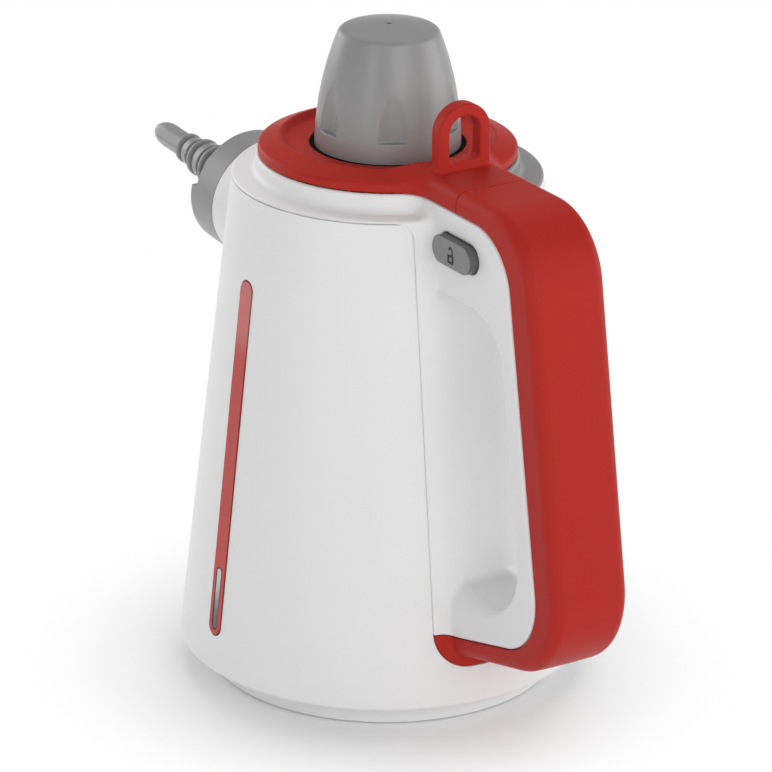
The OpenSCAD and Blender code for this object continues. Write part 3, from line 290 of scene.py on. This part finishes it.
def skin(field, low, high, step):
    """Points, quads and normals of a field's surface inside a box, by surface nets drawn onto the surface."""
    block, margin, batch, least_slope = 4, 1.25, 400000, 0.05
    low = np.array(low, float)
    count = np.ceil((np.array(high) - low) / (step * block)).astype(int)
    axes = [low[i] + step * block * (np.arange(count[i]) + 0.5) for i in range(3)]
    rough = field(*[a.ravel() for a in np.meshgrid(*axes, indexing="ij")]).reshape(count)

    def spread(a):
        return a.repeat(block, 0).repeat(block, 1).repeat(block, 2)

    def window(o):
        return tuple(slice(o[i], o[i] + near.shape[i]) for i in range(3))

    # Only the blocks near the surface are worked out on the fine grid
    grid = np.pad(np.sign(spread(rough)), ((0, 1),) * 3, mode="edge").astype(np.float32)
    near, wanted = spread(np.abs(rough) < step * block * margin), np.zeros(grid.shape, bool)
    eight = [(i, j, k) for i in (0, 1) for j in (0, 1) for k in (0, 1)]
    for o in eight:
        wanted[window(o)] |= near
    spots = np.argwhere(wanted)
    for part in np.array_split(spots, max(1, len(spots) // batch)):
        grid[tuple(part.T)] = field(*(low + step * part).T)

    # One point in each cell that the surface crosses, and one quad round each grid edge that it crosses
    inside = grid < 0
    filled = sum(inside[window(o)].astype(np.int8) for o in eight)
    mixed = (filled > 0) & (filled < 8)
    cells = np.argwhere(mixed)
    number = np.full(mixed.shape, -1)
    number[mixed] = np.arange(len(cells))
    total, hits, quads = np.zeros((len(cells), 3)), np.zeros(len(cells)), []
    for axis in range(3):
        along, u, v = np.eye(3, dtype=int)[[axis, (axis + 1) % 3, (axis + 2) % 3]]
        for o in (0 * u, u, v, u + v):
            a, b = grid[tuple((cells + o).T)], grid[tuple((cells + o + along).T)]
            cross = (a < 0) != (b < 0)
            share = np.where(cross, a / np.where(cross, a - b, 1), 0)
            total += np.where(cross[:, None], o + share[:, None] * along, 0)
            hits += cross
        first = tuple(slice(0, s - along[i]) for i, s in enumerate(grid.shape))
        second = tuple(slice(along[i], s) for i, s in enumerate(grid.shape))
        turn = np.argwhere(inside[first] != inside[second])
        turn = turn[((turn >= u + v) & (turn < np.array(mixed.shape))).all(1)]
        ring = np.stack([number[tuple((turn - o).T)] for o in (u + v, v, 0 * u, u)], 1)
        out = inside[tuple(turn.T)]
        quads.append(np.where(out[:, None], ring, ring[:, ::-1]))
    points, quads = low + step * (cells + total / hits[:, None]), np.concatenate(quads)
    quads = quads[(quads >= 0).all(1)]

    # The points are drawn onto the surface, and evened out along it in between
    for pull in (0.0, 0.5, 0.5, 0.0):
        value, grad = slope(field, points)
        size = np.maximum((grad ** 2).sum(1), least_slope)
        points = points - np.clip(value / size, -step, step)[:, None] * grad
        if pull:
            points = relaxed(points, quads, grad / np.sqrt(size)[:, None], pull)
    grad = slope(field, points)[1]
    return points, quads, grad / np.maximum(np.linalg.norm(grad, axis=1), 1e-6)[:, None]


def add_piece(name, points, quads, normals, material, body, slot, replaced=()):
    """Adds a mesh given in millimetres to a CAD body, in place of the CAD nodes it stands for."""
    mesh = bpy.data.meshes.new(name)
    points, quads = np.asarray(points, float) * MM, np.asarray(quads, int)
    mesh.vertices.add(len(points))
    mesh.vertices.foreach_set("co", points.ravel())
    mesh.loops.add(quads.size)
    mesh.loops.foreach_set("vertex_index", quads.ravel())
    mesh.polygons.add(len(quads))
    mesh.polygons.foreach_set("loop_start", np.arange(0, quads.size, quads.shape[1]))
    mesh.update(calc_edges=True)
    mesh.validate()
    mesh.shade_smooth()
    if normals is not None:
        mesh.normals_split_custom_set_from_vertices(np.asarray(normals, float).tolist())
    mesh.materials.append(material)
    made = bpy.data.objects.new(name, mesh)
    scene.collection.objects.link(made)
    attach(made, body)
    if replaced:
        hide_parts(*replaced)


def shoulder(x, y, z):
    """Distance to the body with its shoulder: a flat ledge and the upright lip that rises from it."""
    ledge = shared(cone(x, y, z), z - LEDGE_Z, LEDGE_EDGE)
    return joined(ledge, np.hypot(x, y) - LIP_R, LIP_FILLET)


def insert_arc(x, y):
    """How far a point is inside the arc of the grey insert, from the nearer end."""
    return np.minimum(y, y * math.cos(INSERT_TURN) - x * math.sin(INSERT_TURN))


def button_bore(x, z, room):
    """Distance to the oblong bore of the lock button."""
    return np.hypot(np.maximum(np.abs(x - BUTTON_X) - BUTTON_STRAIGHT, 0), z - BUTTON_Z) - BUTTON_R - room


def rear_field(x, y, z):
    """Distance to the rear housing."""
    half, ring, wall = np.abs(y), np.hypot(x, y), cone(x, y, z)
    gap, split = side_line(x, z, **HAND_GAP), side_line(x, z, **PARTING)
    bridge = (np.clip((BRIDGE_X[0] - x) / (BRIDGE_X[0] - BRIDGE_X[1]), 0, 1)
              * np.clip((BRIDGE_Z[0] - z) / (BRIDGE_Z[0] - BRIDGE_Z[1]), 0, 1))
    edge = GRIP_EDGE + (BRIDGE_EDGE - GRIP_EDGE) * bridge
    core = np.maximum(shared(-gap, half - CORE_HALF, edge), CORE_START - x)
    whole = shared(joined(core, shoulder(x, y, z), np.interp(z, FILLET_Z, FILLET_R)), split, PARTING_EDGE)
    body_room = np.minimum(np.maximum(wall + WALL, z - HOLLOW_TOP), ring - LIP_BORE)
    grip_room = np.maximum(shared(WALL - gap, half - (CORE_HALF - WALL), np.maximum(edge - WALL, HOLLOW_EDGE)), -wall)
    whole = np.maximum(whole, -np.minimum(body_room, grip_room))
    strip = joined(np.maximum(half - STRIP_HALF, STRIP_START - x), SHOULDER_SEAM - z, STRIP_CORNER)
    whole = shared(whole, np.maximum(strip, STRIP_FOOT - z), SEAM_EDGE)
    whole = np.maximum(whole, np.minimum(insert_arc(x, y), z - INSERT_FLOOR))
    pocket = np.maximum(np.maximum(np.abs(x - POCKET_X) - POCKET_HALF[0], half - POCKET_HALF[1]),
                        np.abs(z - POCKET_Z) - POCKET_HALF[2])
    rod = np.maximum(np.hypot(y, z - ROD_Z) - ROD_BORE, np.abs(x - ROD_X) - ROD_HALF)
    return np.maximum(shared(whole, -button_bore(x, z, BUTTON_ROOM), SEAM_EDGE), -np.minimum(pocket, rod))


STEP = 0.5
add_piece("rear_housing_moulding", *skin(rear_field, *REAR_BOX, STEP), white_abs,
          "housing", "white_plastic", ["rear_housing"])


# Top collar: red ABS ring with a sunk pan round the cap, the start of the strap and the hang loop, one moulding.
# Satin red with a weak sheen, so that its colour stays deep; traced, with the ring faired into the bar.
red_abs = moulded("red_abs", "B82E26", 0.45, gloss=0.12)
RING_R, RING_EDGE = 41, 1.6
CROWN_R, CROWN_Z, CROWN_NORMAL = 34.4, 178.1, (0.377, 0.926)   # a point of the crowned top, and its slope
PAN_R, PAN_Z, PAN_NORMAL = 33.75, 178.2, (0.784, 0.621)        # a point of the pan's side, and its slope
PAN_FLOOR, PAN_CORNER, PAN_LIP = 175.8, 0.8, 0.6
COLLAR_FOOT, COLLAR_BORE = 172.6, 24.6
STRAP_TOP, STRAP_HALF, STRAP_EDGE, STRAP_CROWN = 179.7, 13.7, 4, 0.3
BAR_FILLET = 7
LOOP_X, LOOP_HALF, LOOP_EDGE = 42.3, 2.5, 0.7
LOOP_Z, LOOP_R, LOOP_HOLE = 191.3, 9.3, 5.5                    # centre of the arch, and its radii
LOOP_SILL, LOOP_CORNER, LOOP_ROOT, LOOP_FILLET = 182.5, 1.5, 176, 1.2
END_X, END_BOW, END_HALF, END_CORNER = 62.4, 0.007, 15, 2      # seam between collar and strap
END_GAP, END_EDGE = 0.15, 0.25
COLLAR_BOX = (-43, -43, 171), (70, 43, 203)


def sag(y):
    """How far the strap's crowned outside has fallen away at y."""
    return STRAP_CROWN * (y / CORE_HALF) ** 2


def strap_end(x, y):
    """Distance to the bowed front end of the strap."""
    return shared(END_X - END_BOW * y * y - x, np.abs(y) - END_HALF, END_CORNER)


def collar_field(x, y, z):
    """Distance to the collar."""
    ring, half = np.hypot(x, y), np.abs(y)
    crown = (ring - CROWN_R) * CROWN_NORMAL[0] + (z - CROWN_Z) * CROWN_NORMAL[1]
    rim = corner(ring - RING_R, crown, CROWN_NORMAL[0], RING_EDGE)
    bar = np.maximum(shared(z - STRAP_TOP + sag(y), half - STRAP_HALF, STRAP_EDGE), CORE_START - x)
    pan = (ring - PAN_R) * PAN_NORMAL[0] - (z - PAN_Z) * PAN_NORMAL[1]
    whole = shared(joined(rim, bar, BAR_FILLET), -shared(pan, PAN_FLOOR - z, PAN_CORNER), PAN_LIP)
    arch = np.hypot(y, np.maximum(z - LOOP_Z, 0))
    loop = shared(arch - LOOP_R, np.abs(x - LOOP_X) - LOOP_HALF, LOOP_EDGE)
    loop = shared(loop, -shared(arch - LOOP_HOLE, LOOP_SILL - z, LOOP_CORNER), LOOP_EDGE)
    whole = joined(whole, np.maximum(loop, LOOP_ROOT - z), LOOP_FILLET)
    whole = np.maximum(shared(whole, COLLAR_FOOT - z, SEAM_EDGE), COLLAR_BORE - ring)
    return shared(whole, END_GAP - strap_end(x, y), END_EDGE)


add_piece("top_collar_moulding", *skin(collar_field, *COLLAR_BOX, STEP), red_abs,
          "housing", "red_plastic", ["top_collar"])


# Handle strap: hollow red ABS cover of the handle's outside, clipped over the white core along the parting line.
# Its lower end spreads into a tongue that closes the foot of the rear strip.
OUTSIDE = dict(face=112.2, lean=10.1, top=STRAP_TOP, level=32.2, rise=14.0, r_top=24.5, r_low=28.0)
PARTING_GAP, STRAP_LIP = 0.3, 0.4
STRAP_FLOOR = 171                               # above this height the strap ends at its seam with the collar
TONGUE_FOOT, TONGUE_TOP, TONGUE_CORNER, TONGUE_FILLET = 21.55, 32.85, 12, 2.0
STRAP_BOX = (52, -20, 19), (123, 20, 181)


def strap_field(x, y, z):
    """Distance to the strap."""
    half, wall = np.abs(y), cone(x, y, z)
    outer = side_line(x, z, **OUTSIDE) + sag(y)
    room = shared(outer + WALL, half - (STRAP_HALF - WALL), STRAP_EDGE - WALL)
    cover = np.maximum(shared(outer, half - STRAP_HALF, STRAP_EDGE), -room)
    cover = shared(cover, PARTING_GAP - side_line(x, z, **PARTING), STRAP_LIP)
    cover = np.maximum(cover, np.minimum(strap_end(x, y), z - STRAP_FLOOR))
    foot = shared(shared(half - STRIP_HALF, TONGUE_FOOT - z, TONGUE_CORNER), z - TONGUE_TOP, SEAM_EDGE)
    tongue = np.maximum(shared(wall, foot, SEAM_EDGE), np.maximum(-wall - WALL, STRIP_START - x))
    return np.maximum(joined(cover, tongue, TONGUE_FILLET), -wall - WALL)


add_piece("handle_strap_moulding", *skin(strap_field, *STRAP_BOX, STEP), red_abs,
          "housing", "red_plastic", ["handle_strap"])


# Shoulder insert: grey ABS arc on the right of the shoulder, the same section as the white side.
# Satin grey that shows soft bands of light; traced over its arc only, with square ends at the seams.
grey_abs = moulded("grey_abs", "979797", 0.34)
INSERT_GAP, INSERT_EDGE = 0.15, 0.25
INSERT_BOX = (-51, -1, 164), (49, 51, 174)


def insert_field(x, y, z):
    """Distance to the shoulder insert."""
    whole = shared(shoulder(x, y, z), z - PARTING["top"], PARTING_EDGE)
    whole = shared(whole, np.maximum(SHOULDER_SEAM - z, INSERT_GAP - insert_arc(x, y)), INSERT_EDGE)
    return np.maximum(whole, LIP_BORE - np.hypot(x, y))


add_piece("shoulder_insert_moulding", *skin(insert_field, *INSERT_BOX, STEP), grey_abs,
          "housing", "grey_plastic", ["shoulder_insert"])


# Nozzle: grey ABS bayonet ring on the boss, and the ribbed steam tube with its plain end.
# The ring keeps its CAD solid; the tube is traced, with six shallow flats that run out on its nose.
finish_node("nozzle_collar", grey_abs)
TILT = math.radians(3)
TUBE_X, TUBE_Z = -50, 131.96                    # a point of the tube's axis; places along it count from here
TUBE_AT = [27.15, 27.25, 31.7, 47.6, 77, 79.4]  # places and radii of its profile
TUBE_R = [5, 9, 9, 8.65, 4.6, 4.15]
TUBE_TAIL, TUBE_BORE = -8, 2
TIP, TIP_EDGE = 96.8, 0.5
NOSE_AT, NOSE_LENGTH, NOSE_FALL = 90, 7, 1.7
NOSE_LIMIT, NOSE_POWER = 1.2, 2.2               # the nose falls away by this power, past its end too
FLATS_AT, FLATS_R, FLATS_EDGE = 79, 3.8, 0.15
FAR_INSIDE = -5                                 # stands for the flats where there are none
RIBS, RIB_AT, RIB_PITCH, RIB_R, RIB_GROWTH = 4, 77, 9.8, 5.2, 1.35
RIB_FRONT, RIB_BACK, RIB_EDGE, RIB_FILLET = 1.2, 0.8, 0.6, 0.3
GROOVE_BEHIND, GROOVE_HALF, GROOVE_DEPTH = 1.7, 0.9, 1.5
SLOT_BEHIND, SLOT_HALF, SLOT_DEPTH = 7.4, 1.1, 1.8
WEB_TURN, WEB_HALF = math.radians(50), 1.2      # the web that is left between the slots
CUT_EDGE = 0.2
TUBE_BOX = (-148.5, -10.5, 121), (-41, 10.5, 148)
FINE_STEP = STEP * 0.8                          # for the pieces with small detail


def tube_field(x, y, z):
    """Distance to the nozzle tube, along an axis that rises to the front."""
    s = -(x - TUBE_X) * math.cos(TILT) + (z - TUBE_Z) * math.sin(TILT)
    up = (x - TUBE_X) * math.sin(TILT) + (z - TUBE_Z) * math.cos(TILT)
    out = np.hypot(up, y)
    nose = NOSE_FALL * np.clip((s - NOSE_AT) / NOSE_LENGTH, 0, NOSE_LIMIT) ** NOSE_POWER
    body = out + nose - np.interp(s, TUBE_AT, TUBE_R)
    flats = np.maximum(np.abs(up), np.abs(up) / 2 + np.abs(y) * math.sqrt(3) / 2) - FLATS_R
    flats = np.where(s > FLATS_AT, flats, FAR_INSIDE)
    whole = shared(shared(body, s - TIP, TIP_EDGE), flats, FLATS_EDGE)
    web = np.abs(y * math.cos(WEB_TURN) - up * math.sin(WEB_TURN))
    for i in range(RIBS):
        at, r = RIB_AT - RIB_PITCH * i, RIB_R + RIB_GROWTH * i
        rib = shared(np.maximum(s - at - RIB_FRONT, at - RIB_BACK - s), out - r, RIB_EDGE)
        whole = joined(whole, rib, RIB_FILLET)
        if i < RIBS - 1:
            groove = np.maximum(np.abs(s - at + GROOVE_BEHIND) - GROOVE_HALF, r - GROOVE_DEPTH - out)
            whole = shared(whole, -groove, CUT_EDGE)
            slot = np.maximum(np.abs(s - at + SLOT_BEHIND) - SLOT_HALF,
                              np.maximum(r - SLOT_DEPTH - out, WEB_HALF - web))
            whole = shared(whole, -slot, CUT_EDGE)
    return np.maximum(np.maximum(whole, TUBE_BORE - out), TUBE_TAIL - s)


add_piece("nozzle_tube_moulding", *skin(tube_field, *TUBE_BOX, FINE_STEP), grey_abs,
          "housing", "grey_plastic", ["nozzle_tube"])


# Cap: grey ABS screw cap, a barrel with a low crown, six grip dimples that run out at the top and a vent hole.
# Satin, so that the barrel shows soft upright bands; traced, with crisp lips on the dimples.
BARREL_R, BARREL_OUT, BARREL_Z = 103.8, -80.65, 174   # arc of the side: radius, and centre as distance and height
DOME_R, DOME_Z = 73.06, 141.34                        # arc of the top
CAP_FOOT, CAP_EDGE, CAP_WALL, CAP_CEILING = 170, 1.0, 3.6, 209.1
DIMPLES, DIMPLE_TURN = 6, 32
DIMPLE_OUT, DIMPLE_R, DIMPLE_FOOT = 28.05, 7.6, 182.1
DIMPLE_CORNER, DIMPLE_LIP = 0.5, 0.15
VENT_R = 0.9
CAP_BOX = (-24.5, -24.5, 169), (24.5, 24.5, 216)


def cap_field(x, y, z):
    """Distance to the cap's shell."""
    out = np.hypot(x, y)
    side = np.hypot(out - BARREL_OUT, z - BARREL_Z) - BARREL_R
    dome = np.hypot(out, z - DOME_Z) - DOME_R
    whole = np.maximum(shared(side, dome, CAP_EDGE), CAP_FOOT - z)
    for i in range(DIMPLES):
        turn = math.radians(DIMPLE_TURN + 360 / DIMPLES * i)
        scoop = np.hypot(x - DIMPLE_OUT * math.cos(turn), y - DIMPLE_OUT * math.sin(turn)) - DIMPLE_R
        whole = shared(whole, -shared(scoop, DIMPLE_FOOT - z, DIMPLE_CORNER), DIMPLE_LIP)
    room = np.maximum(np.maximum(side + CAP_WALL, dome + CAP_WALL), z - CAP_CEILING)
    return np.maximum(whole, -np.minimum(room, out - VENT_R))


add_piece("cap_moulding", *skin(cap_field, *CAP_BOX, FINE_STEP), grey_abs,
          "cap", "grey_plastic", ["cap_shell"])


# Lock button: grey ABS oblong through the handle, with a pressing face that is paler than its dark sliding sides.
# It carries a printed open padlock; below it the trigger is a plain grey moulding that keeps its CAD solid.
BUTTON_Y, BUTTON_REACH, BUTTON_EDGE = -1.5, 15.5, 0.25
BUTTON_BOX = (52, -18, 155), (76, 15, 167)
# The colour turns darker just behind the pressing face, so that the button's sides show darker than the face
dark_sided_abs = moulded("dark_sided_abs", "888888", 0.45, edge_mm=0.15, shift=("5C5C5C", 1, -16.95, -16.7))
finish_node("trigger", grey_abs)


def button_field(x, y, z):
    """Distance to the lock button."""
    return shared(button_bore(x, z, 0), np.abs(y - BUTTON_Y) - BUTTON_REACH, BUTTON_EDGE)


add_piece("lock_button_moulding", *skin(button_field, *BUTTON_BOX, FINE_STEP), dark_sided_abs,
          "lock", "grey_plastic", ["lock_button"])

# The padlock is a body with a round hole, and a hook that has swung off it, in flat black ink with little shine
black_print = moulded("black_print", "141414", 0.5, grain_mm=0.2, grain_depth=0.004)
PADLOCK_X, PADLOCK_Z, PRINT_Y = 63.75, 159.3, -17.02
LOCK_HALF, LOCK_HOLE = (1.75, 1.45), (0.75, 0.7)
HOOK_LEG = [(0.85, 1.3), (0.85, 2.3)]
HOOK_AT, HOOK_R, HOOK_HALF = (-0.05, 2.85), (0.9, 0.8), 0.38
HOOK_TURNS = range(-10, 191, 20)
PRINT_STEPS = 32


def band(inner, outer):
    """Quads between two rows of points."""
    n = len(inner)
    return list(inner) + list(outer), [(i, i + 1, n + i + 1, n + i) for i in range(n - 1)]


def printed(right, up):
    """Point of the print, from the middle of the padlock's body."""
    return PADLOCK_X + right, PRINT_Y, PADLOCK_Z + up


outline, hole = [], []
for i in range(PRINT_STEPS + 1):
    turn = math.tau * i / PRINT_STEPS
    c, s = math.cos(turn), math.sin(turn)
    grow = 1 / max(abs(c) / LOCK_HALF[0], abs(s) / LOCK_HALF[1])
    outline.append(printed(c * grow, s * grow))
    hole.append(printed(LOCK_HOLE[0] * c, LOCK_HOLE[1] * s))
add_piece("padlock_body", *band(hole, outline), None, black_print, "lock", "dark_plastic")
middle = [np.array(p) for p in HOOK_LEG]
for degrees in HOOK_TURNS:
    turn = math.radians(degrees)
    middle.append(np.array([HOOK_AT[0] + HOOK_R[0] * math.cos(turn), HOOK_AT[1] + HOOK_R[1] * math.sin(turn)]))
rows = ([], [])
for i, p in enumerate(middle):
    along = middle[min(i + 1, len(middle) - 1)] - middle[max(i - 1, 0)]
    across = np.array([-along[1], along[0]]) / np.linalg.norm(along) * HOOK_HALF
    for row, sign in zip(rows, (1, -1)):
        row.append(printed(*(p + sign * across)))
add_piece("padlock_hook", *band(*rows), None, black_print, "lock", "dark_plastic")


# Trim strip and lens: polished red strip let into the shell, with a smoked slot lens over the lamp.
# Both shine and keep their CAD solids; thin dark bands round them and round the foot of the cap are painted shadow
# lines.
STRIP_TURN = math.radians(-88)
SHADOW_BAND_STEPS = 64
# Painted highlight: the strip's red turns pale pink towards its top
red_gloss_painted_top = moulded("red_gloss_painted_top", "C23028", 0.16, edge_mm=0.2, shift=("CE6A66", 2, 112, 124))
# Painted highlight: the lens turns pale grey towards its top, and the lamp inside shares this finish
smoked_acrylic_painted_top = moulded("smoked_acrylic_painted_top", "5E5E60", 0.1, edge_mm=0.25, shift=("D6D6D8", 2, 26, 42))
# Painted shadow: dull dark grey for the bands that stand for the shadow lines in the joints round the strip and the
# lens
shadow_line_grey = moulded("shadow_line_grey", "4A4646", 0.6, grain_mm=0.2)
finish_node("trim_strip", red_gloss_painted_top)
finish_node("indicator_lens", smoked_acrylic_painted_top)
finish_node("indicator_lamp", smoked_acrylic_painted_top)


def shadow_band(name, width, z0, z1, breadth, rise):
    """Thin oblong dark band on the cone round the strip's centre line, a painted shadow line."""
    rows = ([], [])
    for i in range(SHADOW_BAND_STEPS + 1):
        turn = math.tau * i / SHADOW_BAND_STEPS
        for row, r in zip(rows, (width / 2, width / 2 + breadth)):
            up = (z1 - width / 2 if math.sin(turn) > 0 else z0 + width / 2) + r * math.sin(turn)
            far = BODY_R - (up - BODY_R_Z) * math.tan(TAPER) + rise
            turned = STRIP_TURN + r * math.cos(turn) / far
            row.append((far * math.cos(turned), far * math.sin(turned), up))
    add_piece(name, *band(*rows), None, shadow_line_grey, "housing", "dark_plastic")


shadow_band("trim_shadow_line", width=6.2, z0=21.2, z1=139, breadth=0.35, rise=0.03)
shadow_band("lens_shadow_line", width=2.6, z0=23.2, z1=43.8, breadth=0.3, rise=0.37)

# A flat black ring in the collar round the foot of the cap is painted shadow for the gap there, and reads as a dark
# line
cap_shadow_black = moulded("cap_shadow_black", "0C0C0C", 0.8, grain_mm=0.2, gloss=0.1)
CAP_SHADOW_Z, CAP_SHADOW_R, CAP_SHADOW_STEPS = 175.7, (24.55, 23.3), 96
turns = [math.tau * i / CAP_SHADOW_STEPS for i in range(CAP_SHADOW_STEPS + 1)]
rows = [[(r * math.cos(turn), r * math.sin(turn), CAP_SHADOW_Z) for turn in turns] for r in CAP_SHADOW_R]
add_piece("cap_foot_shadow_ring", *band(*rows), None, cap_shadow_black, "housing", "dark_plastic")


# Inner pieces: spun aluminium boiler, brass and copper steam path, and the heater with its leads.
# They are closed in by the shells and keep their CAD solids, the relief spring as a copy that rides the cap, each with
# the finish of its stock.
def metal(name, colour, roughness, grain_mm, squeeze=(1, 1, 1)):
    """Bare metal with tool marks grain_mm long, made narrower along each axis by the factors in squeeze.

    The marks are drawn coarser than real ones, so that they show in a picture."""
    lift, dull_spread = 1.25, 0.08
    made = bpy.data.materials.new(name)
    made.use_nodes = True
    tree = made.node_tree
    shader = tree.nodes["Principled BSDF"]
    shader.inputs["Metallic"].default_value = 1.0
    spot = add_node(tree, "ShaderNodeTexCoord")
    drawn = add_node(tree, "ShaderNodeMapping", {"Vector": spot.outputs["Object"], "Scale": squeeze})
    marks = add_node(tree, "ShaderNodeTexNoise",
                     {"Vector": drawn.outputs[0], "Scale": 1 / (grain_mm * MM), "Detail": 3.0})
    tone = add_node(tree, "ShaderNodeMixRGB",
                    {"Fac": marks.outputs["Fac"], "Color1": linear(colour),
                     "Color2": [min(1, c * lift) for c in linear(colour)]})
    dull = add_node(tree, "ShaderNodeMapRange",
                    {"Value": marks.outputs["Fac"], "To Min": roughness - dull_spread,
                     "To Max": roughness + dull_spread})
    tree.links.new(tone.outputs[0], shader.inputs["Base Color"])
    tree.links.new(dull.outputs[0], shader.inputs["Roughness"])
    return made


# Spun and turned metal shows fine rings round its axis, the heater a dull oxide, and the rest is dull and even
spun_aluminium = metal("spun_aluminium", "B9BBBD", 0.35, grain_mm=0.6, squeeze=(1, 1, 8))
turned_brass = metal("turned_brass", "B58E4A", 0.3, grain_mm=0.5, squeeze=(1, 1, 4))
drawn_copper = metal("drawn_copper", "B8714C", 0.28, grain_mm=0.5, squeeze=(4, 1, 1))
bright_steel = metal("bright_steel", "A9ABAE", 0.3, grain_mm=0.4, squeeze=(1, 1, 4))
heater_sheath = metal("heater_sheath", "77746F", 0.5, grain_mm=0.5)
steatite = moulded("steatite", "DAD2BE", 0.7, grain_mm=0.5, grain_depth=0.03)
woven_sleeve = moulded("woven_sleeve", "1C1C1C", 0.8, grain_mm=0.6, grain_depth=0.06)
black_pps = moulded("black_pps", "2B2B2B", 0.5)
epdm_rubber = moulded("epdm_rubber", "333333", 0.7)
silicone = moulded("silicone", "5D7F6E", 0.55)
for node, material in [("boiler", spun_aluminium), ("filler_neck", turned_brass), ("steam_valve", turned_brass),
                       ("steam_pipe", drawn_copper), ("heating_element", heater_sheath), ("thermostat", steatite),
                       ("thermal_fuse", steatite), ("supply_lead", woven_sleeve), ("push_rod", bright_steel),
                       ("valve_plunger", turned_brass), ("trigger_pin", bright_steel),
                       ("trigger_spring", bright_steel), ("cap_plug", black_pps), ("cap_gasket", silicone),
                       ("relief_poppet", turned_brass),
                       ("base_screws", bright_steel), ("base_pad", epdm_rubber), ("cord_gland", epdm_rubber)]:
    finish_node(node, material)

# The relief spring, 21.75 long with its end at 181.45, is copied as it stands onto the cap; the poppet lifts by 1.5
coil = nodes["relief_spring"].data.copy()
coil.transform(nodes["relief_spring"].matrix_world)
coil.materials.clear()
coil.materials.append(bright_steel)
spring = bpy.data.objects.new("relief_coil", coil)
scene.collection.objects.link(spring)
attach(spring, "cap")
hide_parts("relief_spring")
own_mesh(spring)
